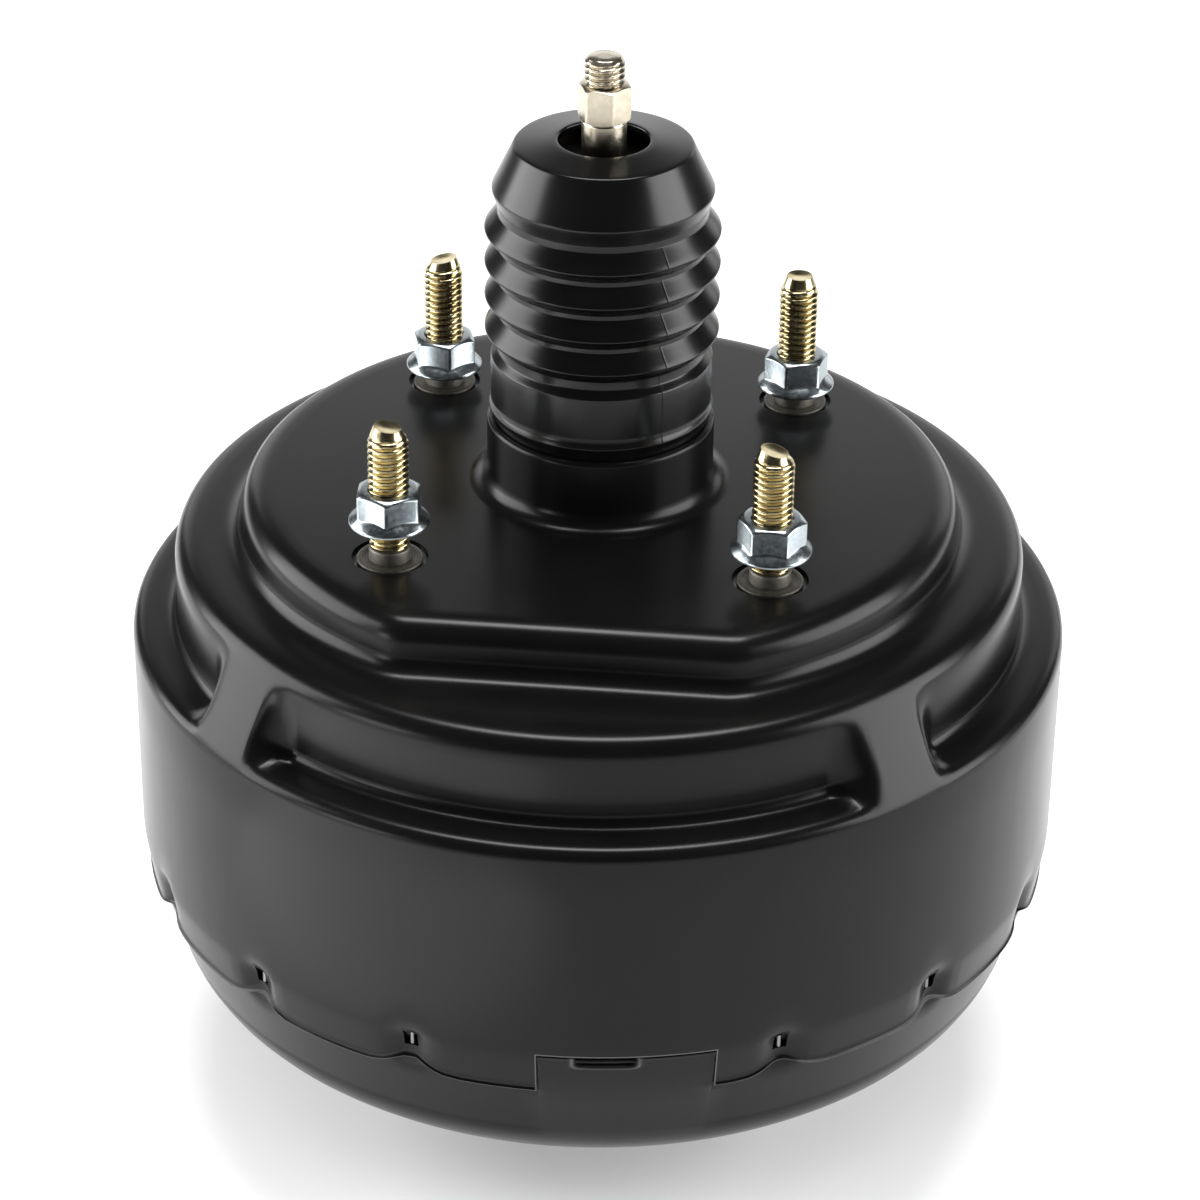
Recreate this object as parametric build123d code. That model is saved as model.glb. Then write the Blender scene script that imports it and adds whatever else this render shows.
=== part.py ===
from build123d import *
import math
import os

# Tandem vacuum brake booster. Millimetres, Z along the booster's axis towards the pedal.
# The origin is the centre of the face that bolts to the firewall, so the shells lie below Z = 0.

# Rear shell, a stepped pressing
wall = 1.5
skirt_radius = 114.3
step_width = 11.0
ledge_width = 16.8
chord_cut = 9.5
plateau_height = 12.5
step_height = 21.7
skirt_length = 67.1
curl_draw = 1.7
curl_length = 11.0
curl_bend = 20.0
plateau_bend = 3.5
step_bend = 4.9
rim_bend = 3.3
inner_bend = 3.0
chord_corner = 5.0
neck_radius = 27.3
neck_height = 17.3

# Stamped ramps that stiffen the step
ramp_count = 4
ramp_width = 20.0
ramp_side_angle = 20.0

# Skirt: lanced locking places, with a notch instead of one of them
lance_count = 16
lance_angle = 6.0
lance_width = 3.4
lance_height = 6.0
lance_above_edge = 4.6
scallop_radius = 16.0
scallop_depth = 2.8
notch_angle = 9.6
notch_span = 21.0
notch_height = 11.0
notch_gap = 0.3
tab_slot_angle = 7.15
tab_slot_width = 14.0
tab_slot_height = 2.7

# Front shell, a deep bowl pushed into the skirt
fit_gap = 0.1
flat_cut = 2 - math.sqrt(2)
bowl_depth = 29.7
bowl_draft = 16.0
bowl_corner = 19.0
boss_radius = 60.0
boss_height = 6.0
boss_draft = 25.0
boss_bend = 3.0
pilot_radius = 19.5

# Firewall studs, 3/8-16 with flange nuts
stud_spacing_x = 88.9
stud_spacing_y = 92.1
stud_radius = 4.7625
stud_height = 34.4
stud_shank_radius = 4.9
stud_shank_height = 3.0
stud_press_radius = 5.2
stud_tip = 4.0
collar_radius = 7.8
collar_head_height = 2.0
collar_head_extra = 2.2
stud_hole_radius = 9.0
stud_plate_thickness = 3.2
stud_plate_margin = 5.0
nut_flats = 14.2875
nut_flange_radius = 9.525
nut_flange_edge = 1.0
nut_height = 8.7
nut_lifts = (9.3, 8.05, 5.1, 4.6)
nut_turns = (11, 27, 5, 40)

# Master cylinder studs and vacuum check valve on the front face
cylinder_stud_spacing = 85.725
cylinder_stud_radius = 4.7625
cylinder_head_radius = 7.5
cylinder_head_height = 2.5
cylinder_stud_length = 28.0
front_plate_thickness = 3.0
valve_clearance = 5.5
valve_angle = 150.0
grommet_radius = 11.0
grommet_bore = 7.5
nipple_radius = 5.2
nipple_barb = 6.0
nipple_land = 2.5
nipple_length = 24.0

# Valve body, the hub of both pistons
tail_radius = 19.5
tail_bore = 16.8
filter_length = 12.0
silencer_length = 6.8
filter_depth = 5.0
filter_gap = 0.2
hub_radius = 22.0
hub_flange_radius = 31.0
hub_flange_thickness = 6.0
hub_spigot_radius = 17.3
hub_spigot_length = 9.0
slide_gap = 0.05
soft_gap = 0.3
piston_stroke = 32.0
plunger_travel = 1.5

# Pistons, diaphragms and centre plate
piston_wall = 1.5
piston_clearance = 3.2
rear_piston_rim = 18.0
front_piston_rim = 12.0
rest_gap = 3.4
rubber = 1.6
fold_radius = 3.0
bead_height = 5.5
bead_width = 6.0
plate_wall = 1.6
centre_seal_height = 7.0
centre_seal_width = 5.0

# Control valve and rods
plunger_radius = 7.0
plunger_flange_radius = 9.4
plunger_flange_thickness = 3.0
plunger_groove_radius = 5.2
mouth_radius = 4.2
key_thickness = 2.0
key_width = 16.0
ball_radius = 5.0
ball_height = -20.0
rod_radius = 5.25
rod_hex_flats = 11.1125
rod_hex_start = 91.5
rod_hex_length = 10.7
rod_thread_radius = 4.7625
rod_thread_length = 7.0
reaction_radius = 12.5
reaction_thickness = 4.0
output_rod_radius = 6.0
output_rod_reach = 9.0
tip_radius = 4.0
tip_length = 12.0

# Dust boot
boot_wall = 1.7
boot_radius = 28.1
boot_groove = 24.7
boot_band_radius = 26.4
boot_band_height = 12.1
boot_ring_height = 4.2
boot_ridges = 4
boot_pitch = 8.5
boot_groove_width = 1.7
boot_undercut = 2.6
boot_lip_radius = 26.2
boot_cone_height = 10.8
boot_top_radius = 21.0
boot_hole = 10.7
boot_crown = 1.2
boot_foot = 5.0

# Coil springs
wire_sides = 6
return_wire = 3.8
return_turns = 4.5
return_top_radius = 36.0
rod_wire = 1.4
rod_turns = 5.0
rod_spring_length = 22.0
poppet_wire = 1.1
poppet_turns = 4.0

# Radii and levels worked out from the sizes above
skirt_end_radius = skirt_radius - curl_draw
step_radius = skirt_radius - step_width
plateau_radius = step_radius - ledge_width
chord_distance = plateau_radius - chord_cut
piston_radius = step_radius - wall - rubber - piston_clearance
valve_offset = boss_radius + grommet_radius + valve_clearance
ledge_level = -plateau_height
rim_level = ledge_level - step_height
skirt_end = rim_level - skirt_length
neck_bore = neck_radius - wall
stud_places = [
    (x * stud_spacing_x / 2, y * stud_spacing_y / 2)
    for x, y in ((-1, -1), (1, -1), (1, 1), (-1, 1))
]
stud_plate_level = -wall
collar_foot = stud_plate_level - stud_plate_thickness
curl_start = skirt_end + curl_length
flange_radius = skirt_radius - wall - fit_gap
bowl_mouth = skirt_end_radius - wall - fit_gap
bowl_face = skirt_end - bowl_depth
boss_face = bowl_face - boss_height
piston_level = ledge_level - wall - 1.0 - rubber
rear_bead_top = rim_level - wall
centre_skirt_top = rear_bead_top - bead_height
centre_flange = piston_level - rear_piston_rim - piston_stroke - 3.0
front_bead_top = centre_flange - plate_wall
front_flange_end = front_bead_top - bead_height
centre_raise = 8.0
centre_web = centre_flange + centre_raise
front_piston_level = front_bead_top - rest_gap - rubber
hub_shoulder = front_piston_level
hub_end = hub_shoulder - hub_spigot_length
boot_ring_low = neck_height + 0.2
ridge_start = boot_ring_low + boot_ring_height + boot_band_height + 2.7
boot_lip = ridge_start + boot_ridges * boot_pitch + boot_groove_width + 4.0
boot_shoulder = boot_lip + boot_cone_height
tail_height = boot_shoulder - boot_wall - soft_gap
return_bottom_radius = cylinder_stud_spacing / 2 + cylinder_head_radius + 0.6 + return_wire / 2
front_plate_level = boss_face + wall
front_plate_top = front_plate_level + front_plate_thickness
flange_low = piston_level - piston_wall - hub_flange_thickness
valve_seat = ball_height + 4.4
poppet_top = valve_seat + 10.0
retainer_top = poppet_top + 2.4
rod_spring_low = retainer_top + 0.1
rod_spring_high = rod_spring_low + rod_spring_length


def outline(points):
    """Closed face in the XZ plane from (radius, height, corner) points.

    A corner above zero is rounded by that radius, and one below zero is cut flat by that length.
    """
    count = len(points)
    corners = []
    for i in range(count):
        here = Vector(points[i][0], points[i][1])
        before = Vector(*points[i - 1][:2])
        after = Vector(*points[(i + 1) % count][:2])
        bend = points[i][2] if len(points[i]) > 2 else 0
        back = (before - here).normalized()
        on = (after - here).normalized()
        if bend <= 0:
            corners.append((here + back * -bend, None, here + on * -bend))
            continue
        half = back.get_angle(on) / 2
        reach = bend / math.tan(math.radians(half))
        middle = (back + on).normalized()
        depth = bend / math.sin(math.radians(half)) - bend
        corners.append((here + back * reach, here + middle * depth, here + on * reach))
    edges = []
    for i in range(count):
        start, mid, end = corners[i]
        if (end - start).length > 1e-6:
            edges.append(ThreePointArc(start, mid, end) if mid else Line(start, end))
        following = corners[(i + 1) % count][0]
        if (following - end).length > 1e-6:
            edges.append(Line(end, following))
    return Plane.XZ * make_face(edges)


def turned(*points):
    """Solid of revolution about Z."""
    return revolve(outline(points), Axis.Z)


def disc(radius, low, high, x=0, y=0):
    """Plain cylinder between two levels."""
    return Pos(x, y, low) * Cylinder(radius, high - low, align=(Align.CENTER, Align.CENTER, Align.MIN))


def ring(outer, inner, low, high):
    """Plain ring between two levels."""
    return turned((inner, low), (outer, low), (outer, high), (inner, high))


def ramp_line(inset):
    """Line that touches both bends of the step, as two (radius, height) points."""
    top = step_radius - step_bend, ledge_level - step_bend
    foot = skirt_radius - rim_bend, rim_level - rim_bend
    run, fall = foot[0] - top[0], foot[1] - top[1]
    length = math.hypot(run, fall)
    lean = math.asin((step_bend - rim_bend) / length)
    across = math.atan2(run, -fall)
    normal = math.cos(across - lean), math.sin(across - lean)
    upper = [c + n * (step_bend - inset) for c, n in zip(top, normal)]
    lower = [c + n * (rim_bend - inset) for c, n in zip(foot, normal)]
    return upper, lower


def ramp_section(inset, depth):
    """Trapezoid across a ramp, its top a little above the ramp's face."""
    slant = math.radians(ramp_side_angle)
    half = ramp_width / 2 - inset / math.cos(slant)
    top, foot = half - 3 * math.tan(slant), half + depth * math.tan(slant)
    return make_face(Polyline((-top, 3), (top, 3), (foot, -depth), (-foot, -depth), close=True))


def ramps(inset):
    """Ramps across the step, with a conical face that touches both bends and leaning sides."""
    upper, lower = ramp_line(inset)
    top = step_radius - step_bend, ledge_level - step_bend
    foot = skirt_radius - rim_bend, rim_level - rim_bend
    inner = step_radius - step_bend - 6
    cone = turned((inner, foot[1]), foot, tuple(lower), tuple(upper), top, (inner, top[1]))
    outer_upper, outer_lower = ramp_line(0)
    start = Vector(outer_upper[0], 0, outer_upper[1])
    fall = Vector(outer_lower[0], 0, outer_lower[1]) - start
    plane = Plane(origin=start, x_dir=(0, 1, 0), z_dir=fall)
    if plane.y_dir.X < 0:
        plane = Plane(origin=start, x_dir=(0, -1, 0), z_dir=fall)
    length = 2 * fall.length
    prism = extrude(plane * ramp_section(inset, rim_bend + 12), length, both=True)
    wedge = cone & prism
    step = 360 / ramp_count
    return [Rot(0, 0, step * (k + 0.5)) * wedge for k in range(ramp_count)]


def corner(radius, inset):
    """Outline corner: rounded outside, cut flat at the same place inside."""
    return radius if inset == 0 else -flat_cut * radius


def soften(edges, radius, inset):
    """Round the edges outside, or cut them flat at the same place inside."""
    return fillet(edges, radius) if inset == 0 else chamfer(edges, flat_cut * radius)


def plateau(inset):
    """D-shaped raised pad that carries the studs, with the neck's foot."""
    low = ledge_level - inset - 4
    pad = Circle(plateau_radius - inset) - Pos(0, -chord_distance + inset) * Rectangle(
        3 * plateau_radius, 2 * plateau_radius, align=(Align.CENTER, Align.MAX)
    )
    pad = fillet(pad.vertices(), chord_corner - inset)
    body = Pos(0, 0, low) * extrude(pad, -inset - low)
    return soften(body.edges().group_by(Axis.Z)[-1], plateau_bend - inset, inset)


def shell_form(inset):
    """Filled form of the rear shell, or of its inside when inset by the wall."""
    form = turned(
        (0, skirt_end), (skirt_end_radius - inset, skirt_end),
        (skirt_radius - inset, curl_start, curl_bend if inset == 0 else 0),
        (skirt_radius - inset, rim_level - inset, corner(rim_bend - inset, inset)),
        (step_radius - inset, rim_level - inset, corner(inner_bend + inset, inset)),
        (step_radius - inset, ledge_level - inset, corner(step_bend - inset, inset)),
        (0, ledge_level - inset),
    )
    form += plateau(inset)
    foot = form.edges().filter_by(lambda e: abs(e.center().Z - (ledge_level - inset)) < 0.01)
    reach = step_radius - step_bend - 3
    foot = foot.filter_by(lambda e: Vector(*e.center(CenterOf.BOUNDING_BOX)).length < reach)
    form = soften(foot, inner_bend + inset, inset)
    for wedge in ramps(inset):
        form += wedge
    top = neck_height if inset == 0 else neck_height + 5
    form += disc(neck_radius - inset, -wall - 3, top)
    foot = form.edges().filter_by(lambda e: abs(e.center().Z + inset) < 0.01).sort_by(lambda e: e.length)
    foot = [e for e in foot if abs(e.length - 2 * math.pi * (neck_radius - inset)) < 0.5]
    return soften(foot, inner_bend + inset, inset)


def at_angle(angle, radius=0.0):
    """Place on the skirt, the angle counted from -Y towards +X."""
    return Rot(0, 0, angle - 90) * Pos(radius, 0, 0)


def notch_block(gap):
    """Block that fills the notch in the skirt, smaller by a gap on each side."""
    chord = 2 * skirt_radius * math.sin(math.radians(notch_span / 2)) - 2 * gap
    height = notch_height + 1 - gap
    block = Pos(0, 0, skirt_end - 1 + height / 2) * Box(12 * wall, chord, height)
    return at_angle(notch_angle, skirt_radius) * block


def rear_shell():
    """Stepped pressing with its stud holes, lances and notch."""
    shell = shell_form(0) - shell_form(wall)
    for x, y in stud_places:
        shell -= disc(stud_hole_radius, -3 * wall, wall, x, y)
    depth = 3 * wall
    step = 360 / lance_count
    for k in range(1, lance_count):
        place = at_angle(lance_angle + k * step, skirt_radius)
        slit = Pos(0, 0, skirt_end + lance_above_edge + lance_height / 2)
        shell -= place * slit * Box(2 * depth, lance_width, lance_height)
        bite = Pos(0, 0, skirt_end - scallop_radius + scallop_depth) * Rot(0, 90, 0)
        shell -= place * bite * Cylinder(scallop_radius, 2 * depth)
    return shell - notch_block(0)


def bowl_form(inset):
    """Filled form of the front shell, or of its inside when inset by the wall."""
    foot = bowl_mouth - bowl_depth * math.tan(math.radians(bowl_draft))
    lean = boss_height * math.tan(math.radians(boss_draft))
    side = 0.75 * inset
    top = front_flange_end if inset == 0 else front_flange_end + 5
    return turned(
        (0, boss_face + inset), (boss_radius - inset, boss_face + inset, corner(boss_bend - inset, inset)),
        (boss_radius + lean - side, bowl_face + inset, corner(boss_bend + inset, inset)),
        (foot - side, bowl_face + inset, bowl_corner - inset),
        (bowl_mouth - inset, skirt_end), (flange_radius - inset, curl_start),
        (flange_radius - inset, top), (0, top),
    )


def notch_pad():
    """Pad raised on the front shell, flush with the skirt where the notch is cut."""
    inside = turned(
        (bowl_mouth - 1, skirt_end), (skirt_end_radius, skirt_end), (skirt_radius, curl_start),
        (skirt_radius, curl_start + notch_height), (flange_radius - 1, curl_start + notch_height),
        (flange_radius - 1, curl_start),
    )
    pad = inside & notch_block(notch_gap)
    level = skirt_end + notch_height - tab_slot_height / 2
    slot = Pos(0, 0, level) * Box(12 * wall, tab_slot_width, tab_slot_height)
    return pad - at_angle(tab_slot_angle, skirt_radius + 6 * wall + 0.4 - wall) * slot


def cylinder_studs_at():
    """Centres of the two master cylinder studs."""
    return [(-cylinder_stud_spacing / 2, 0), (cylinder_stud_spacing / 2, 0)]


def valve_place():
    """Centre of the check valve on the front face."""
    turn = math.radians(valve_angle)
    return valve_offset * math.sin(turn), -valve_offset * math.cos(turn)


def front_shell():
    """Bowl with the master cylinder boss, its pilot hole and the check valve hole."""
    shell = bowl_form(0) - bowl_form(wall) + notch_pad()
    shell -= disc(pilot_radius, boss_face - 1, boss_face + 2 * wall)
    for x, y in cylinder_studs_at():
        shell -= disc(stud_press_radius, boss_face - 1, boss_face + 2 * wall, x, y)
    x, y = valve_place()
    return shell - disc(grommet_radius - 2, bowl_face - 1, bowl_face + 2 * wall, x, y)


def stud_plate():
    """Reinforcement plate under the plateau that carries the stud collars."""
    pad = Circle(plateau_radius - wall - 6) - Pos(0, -chord_distance + wall + 6) * Rectangle(
        3 * plateau_radius, 2 * plateau_radius, align=(Align.CENTER, Align.MAX)
    )
    pad = fillet(pad.vertices(), chord_corner)
    pad -= Circle(neck_radius + stud_plate_margin)
    plate = Pos(0, 0, collar_foot) * extrude(pad, stud_plate_thickness)
    for x, y in stud_places:
        plate -= disc(collar_radius, collar_foot - 1, 0, x, y)
    return plate


def stud_collars():
    """Machined collars riveted into the plate, one round each stud."""
    collars = []
    low = collar_foot - collar_head_height
    head = collar_radius + collar_head_extra
    for x, y in stud_places:
        collar = turned(
            (stud_press_radius, low), (head, low, -0.5), (head, collar_foot),
            (collar_radius, collar_foot), (collar_radius, 0, -0.4), (stud_press_radius, 0),
        )
        collars.append(Pos(x, y, 0) * collar)
    return collars


def firewall_stud():
    """Stud with a press shank in the collar, a plain shank above the face and a drawn-down thread."""
    return turned(
        (0, collar_foot - collar_head_height), (stud_press_radius, collar_foot - collar_head_height),
        (stud_press_radius, 0), (stud_shank_radius, 0), (stud_shank_radius, stud_shank_height),
        (stud_radius, stud_shank_height), (stud_radius, stud_height - stud_tip),
        (stud_radius * 0.68, stud_height), (0, stud_height),
    )


def firewall_studs():
    """Four studs pressed through the collars."""
    return [Pos(x, y, 0) * firewall_stud() for x, y in stud_places]


def flange_nut(bore):
    """Hexagon nut with a washer flange, its underside at Z = 0."""
    hexagon = extrude(RegularPolygon(nut_flats / 2, 6, major_radius=False), nut_height)
    corner = nut_flats / math.sqrt(3)
    crown = turned(
        (0, 0), (corner, 0), (corner, nut_height - 1.0), (corner - 1.6, nut_height), (0, nut_height)
    )
    flange = turned(
        (0, 0), (nut_flange_radius, 0), (nut_flange_radius, nut_flange_edge),
        (nut_flats / 2, nut_flange_edge + 1.4), (0, nut_flange_edge + 1.4),
    )
    return (hexagon & crown) + flange - disc(bore, -1, nut_height + 1)


def flange_nuts():
    """Nuts run a few turns onto the studs, each stopped at its own height and turn."""
    return [
        Pos(x, y, lift) * Rot(0, 0, turn) * flange_nut(stud_radius)
        for (x, y), lift, turn in zip(stud_places, nut_lifts, nut_turns)
    ]


def front_plate():
    """Reinforcement disc inside the boss of the front shell."""
    level = front_plate_level
    plate = ring(boss_radius - wall - 3, pilot_radius, level, front_plate_top)
    for x, y in cylinder_studs_at():
        plate -= disc(stud_press_radius, level - 1, level + 2 * front_plate_thickness, x, y)
    return plate


def master_cylinder_studs():
    """Two headed studs pushed through the plate and the front shell."""
    end = boss_face - cylinder_stud_length
    head = front_plate_top + cylinder_head_height
    studs = []
    for x, y in cylinder_studs_at():
        body = turned(
            (0, end), (cylinder_stud_radius * 0.7, end), (cylinder_stud_radius, end + 2),
            (cylinder_stud_radius, boss_face - stud_shank_height),
            (stud_shank_radius, boss_face - stud_shank_height), (stud_shank_radius, boss_face),
            (stud_press_radius, boss_face), (stud_press_radius, front_plate_top),
            (cylinder_head_radius, front_plate_top),
            (cylinder_head_radius, head, -0.6), (0, head),
        )
        studs.append(Pos(x, y, 0) * body)
    return studs


def front_seal():
    """Vacuum seal pressed into the pilot hole round the output rod."""
    level = front_plate_top
    inner = output_rod_radius + slide_gap
    return turned(
        (inner, boss_face + 1), (inner + 2.5, boss_face + 1),
        (pilot_radius - 3, boss_face + 0.5), (pilot_radius - fit_gap, boss_face + 0.5),
        (pilot_radius - fit_gap, level), (pilot_radius + 2.5, level),
        (pilot_radius + 2.5, level + 1.5), (pilot_radius - 4, level + 1.5), (inner + 3, level - 1),
        (inner, level - 1),
    )


def check_valve_grommet():
    """Rubber grommet that seals the check valve in the shell."""
    x, y = valve_place()
    body = turned(
        (grommet_bore, bowl_face - 3), (grommet_radius, bowl_face - 3, -1), (grommet_radius, bowl_face),
        (grommet_radius - 2, bowl_face), (grommet_radius - 2, bowl_face + wall),
        (grommet_radius, bowl_face + wall), (grommet_radius - 1, bowl_face + wall + 3, -1),
        (grommet_bore, bowl_face + wall + 3),
    )
    return Pos(x, y, 0) * body


def check_valve():
    """Plastic check valve with a hose nipple."""
    x, y = valve_place()
    out = bowl_face - 3
    collar = grommet_radius
    tip = out - 6 - nipple_length
    body = turned(
        (2.4, tip), (nipple_radius - 0.6, tip), (nipple_barb, tip + 4),
        (nipple_barb, tip + 4 + nipple_land), (nipple_radius, tip + 4.4 + nipple_land),
        (nipple_radius, out - 8), (collar - 3, out - 6), (collar, out - 6), (collar, out),
        (grommet_bore - 0.05, out), (grommet_bore - 0.05, bowl_face + wall + 6),
        (grommet_bore - 2, bowl_face + wall + 8), (2.4, bowl_face + wall + 8),
    )
    return Pos(x, y, 0) * body


def centre_plate():
    """Stamped divider between the chambers, with a skirt that clamps both beads."""
    outer = flange_radius
    low, high = centre_flange - plate_wall, centre_flange
    inner = hub_radius + centre_seal_width
    web = centre_web
    return turned(
        (outer - plate_wall, centre_skirt_top), (outer - plate_wall, high, -1.2),
        (piston_radius - 10, high, -1), (piston_radius - 14, web, -1),
        (inner + plate_wall, web), (inner + plate_wall, web + 3), (inner, web + 3),
        (inner, web - centre_seal_height + 1), (inner + plate_wall, web - centre_seal_height + 1),
        (inner + plate_wall, web - plate_wall), (piston_radius - 14 - plate_wall, web - plate_wall, -1),
        (piston_radius - 10 - plate_wall, low, -1), (outer, low), (outer, centre_skirt_top),
    )


def centre_seal():
    """Lip seal of the centre plate on the hub."""
    inner = hub_radius + slide_gap
    outer = hub_radius + centre_seal_width
    web = centre_web
    low = web - centre_seal_height + 1
    return turned(
        (inner, low), (outer, low), (outer, web + 2.5), (inner + 2.2, web + 2.5), (inner + 2.2, low + 3),
        (inner, low + 2),
    )


def neck_bearing():
    """Plastic guide ring in the neck."""
    return ring(neck_bore, tail_radius + slide_gap, 0.5, 5.5)


def neck_seal():
    """Lip seal above the guide ring."""
    inner = tail_radius + slide_gap
    top = neck_height - boot_foot - 0.5
    return turned(
        (inner, 6), (neck_bore, 5.5), (neck_bore, top), (neck_bore - 1.6, top),
        (neck_bore - 1.6, 7.5), (inner + 1.2, 7.5), (inner, 8.5),
    )


def rear_diaphragm():
    """Rolling diaphragm: inner bead, flat, fold and clamped outer bead."""
    top = piston_level + rubber
    low = centre_skirt_top - 6
    outside = piston_radius + soft_gap + rubber
    bead_in = flange_radius - bead_width
    return turned(
        (tail_radius + soft_gap, piston_level), (piston_radius + soft_gap, piston_level),
        (piston_radius + soft_gap, low - fold_radius), (outside, low - fold_radius - 0.6),
        (bead_in - rubber - 0.6, low - fold_radius - 0.6), (bead_in - rubber, low - fold_radius + 1),
        (bead_in - rubber, centre_skirt_top + 2), (bead_in, centre_skirt_top),
        (flange_radius, centre_skirt_top), (flange_radius, rear_bead_top, wall - rim_bend - fit_gap),
        (bead_in, rear_bead_top), (bead_in - 2 * rubber, centre_skirt_top + 3),
        (bead_in - 2 * rubber, low - fold_radius + 1.4), (outside, low - fold_radius + 1.4),
        (outside, top, -1.5),
        (tail_radius + 6, top), (tail_radius + 5, top + 2), (tail_radius + soft_gap, top + 2),
    )


def front_diaphragm():
    """Rolling diaphragm of the front piston."""
    top = front_piston_level + rubber
    low = front_piston_level - front_piston_rim
    outside = piston_radius + soft_gap + rubber
    bead_in = flange_radius - bead_width
    return turned(
        (hub_radius + soft_gap, front_piston_level), (piston_radius + soft_gap, front_piston_level),
        (piston_radius + soft_gap, low - 2), (outside, low - 3), (bead_in - wall - 0.6, low - 3),
        (bead_in - wall, low - 1), (bead_in - wall, front_flange_end),
        (flange_radius, front_flange_end), (flange_radius, front_bead_top), (bead_in, front_bead_top),
        (bead_in - wall - rubber, front_flange_end + 1), (bead_in - wall - rubber, low - 1),
        (outside, low - 1), (outside, top, -1.5), (hub_radius + 5, top), (hub_radius + 4, top + 1.5),
        (hub_radius + soft_gap, top + 1.5),
    )


def piston_dish(bore, level, rim):
    """Stamped piston: a flat web with a rib and a rolled rim."""
    under = level - piston_wall
    return turned(
        (bore, level), (piston_radius, level, -1.5), (piston_radius, level - rim),
        (piston_radius - piston_wall, level - rim), (piston_radius - piston_wall, under, -1.0),
        (bore, under),
    )


def rear_piston():
    """Stamped plate behind the rear diaphragm."""
    return piston_dish(tail_radius + fit_gap, piston_level, rear_piston_rim)


def front_piston():
    """Stamped plate behind the front diaphragm."""
    return piston_dish(hub_spigot_radius + fit_gap, front_piston_level, front_piston_rim)


def piston_retainer():
    """Locking ring that holds the front piston on the hub's spigot."""
    level = front_piston_level - piston_wall
    inner = hub_spigot_radius
    return turned(
        (inner, level), (return_top_radius - 4, level), (return_top_radius - 4, level - 1.2),
        (inner + 5, level - 1.6), (inner + 3.5, level - 4), (inner, level - 4),
    )


def key_form(gap):
    """Flat key across the hub, larger by a gap all round."""
    length = 2 * hub_flange_radius
    slab = Box(length, key_width + 2 * gap, key_thickness + 2 * gap)
    return Pos(0, 0, flange_low + key_thickness / 2 + gap) * slab


def stop_key():
    """Forked key in the hub's slot that limits the plunger's travel."""
    neck = 2 * (plunger_groove_radius + soft_gap)
    fork = Box(2 * hub_flange_radius, neck, 4 * key_thickness, align=(Align.MIN, Align.CENTER, Align.CENTER))
    fork = Pos(-neck / 2, 0, flange_low) * fork
    return (key_form(0) & disc(hub_radius - 1, flange_low - 1, flange_low + 9)) - fork


def valve_body():
    """Moulded hub with a long tail, bored for the filter, valve, plunger and reaction disc."""
    flange_top = piston_level - piston_wall
    body = turned(
        (0, hub_end), (hub_spigot_radius, hub_end), (hub_spigot_radius, hub_shoulder),
        (hub_radius, hub_shoulder), (hub_radius, flange_low), (hub_flange_radius, flange_low, -1.5),
        (hub_flange_radius, flange_top), (tail_radius, flange_top), (tail_radius, tail_height, -1),
        (0, tail_height),
    )
    valve_bore = tail_bore - 2.5
    body -= turned(
        (0, ball_height + 4), (valve_bore, ball_height + 4), (valve_bore, retainer_top),
        (tail_bore, retainer_top + 2), (tail_bore, tail_height + 1), (0, tail_height + 1),
    )
    body -= disc(plunger_radius + slide_gap, hub_end - 1, tail_height)
    body -= disc(plunger_flange_radius + 1.2, ball_height - plunger_flange_thickness - 1, tail_height)
    body -= disc(reaction_radius + 1.5, hub_end - 1, hub_end + reaction_thickness + 4)
    return body - (key_form(slide_gap) & disc(hub_radius - 1 + slide_gap, flange_low - 1, flange_low + 9))


def reaction_disc():
    """Rubber disc that weighs the plunger against the hub."""
    return disc(reaction_radius - 0.1, hub_end + 4, hub_end + 4 + reaction_thickness - 0.1)


def output_rod():
    """Rod to the master cylinder, with a cup behind the reaction disc."""
    cup = reaction_radius + 1.4
    end = boss_face - output_rod_reach
    rim = hub_end + reaction_thickness + 4 - 0.1
    rod = turned(
        (0, end), (output_rod_radius, end, -0.5), (output_rod_radius, hub_end - 2, -1.5),
        (cup, hub_end - 2, -1),
        (cup, rim), (reaction_radius, rim), (reaction_radius, hub_end + 4), (0, hub_end + 4),
    )
    return rod - disc(tip_radius, end - 1, end + tip_length * 0.7)


def output_rod_retainer():
    """Spring ring on the spigot that keeps the output rod in the hub."""
    level = hub_end - 2 - soft_gap
    return turned(
        (output_rod_radius + 3, level - 1.2), (hub_spigot_radius + 1.2, level - 1.2),
        (hub_spigot_radius + 1.2, hub_end + 3), (hub_spigot_radius, hub_end + 3),
        (hub_spigot_radius, level), (output_rod_radius + 3, level),
    )


def output_tip():
    """Adjusting screw with a domed end."""
    end = boss_face - output_rod_reach
    head = Pos(0, 0, end - 4) * extrude(RegularPolygon(5, 6, major_radius=False), 4)
    shank = disc(tip_radius - 0.01, end, end + tip_length * 0.7 - 0.5)
    nose = turned((0, end - 7), (1.5, end - 7), (3.4, end - 5.5), (3.4, end - 4), (0, end - 4))
    return head + shank + nose


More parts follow.
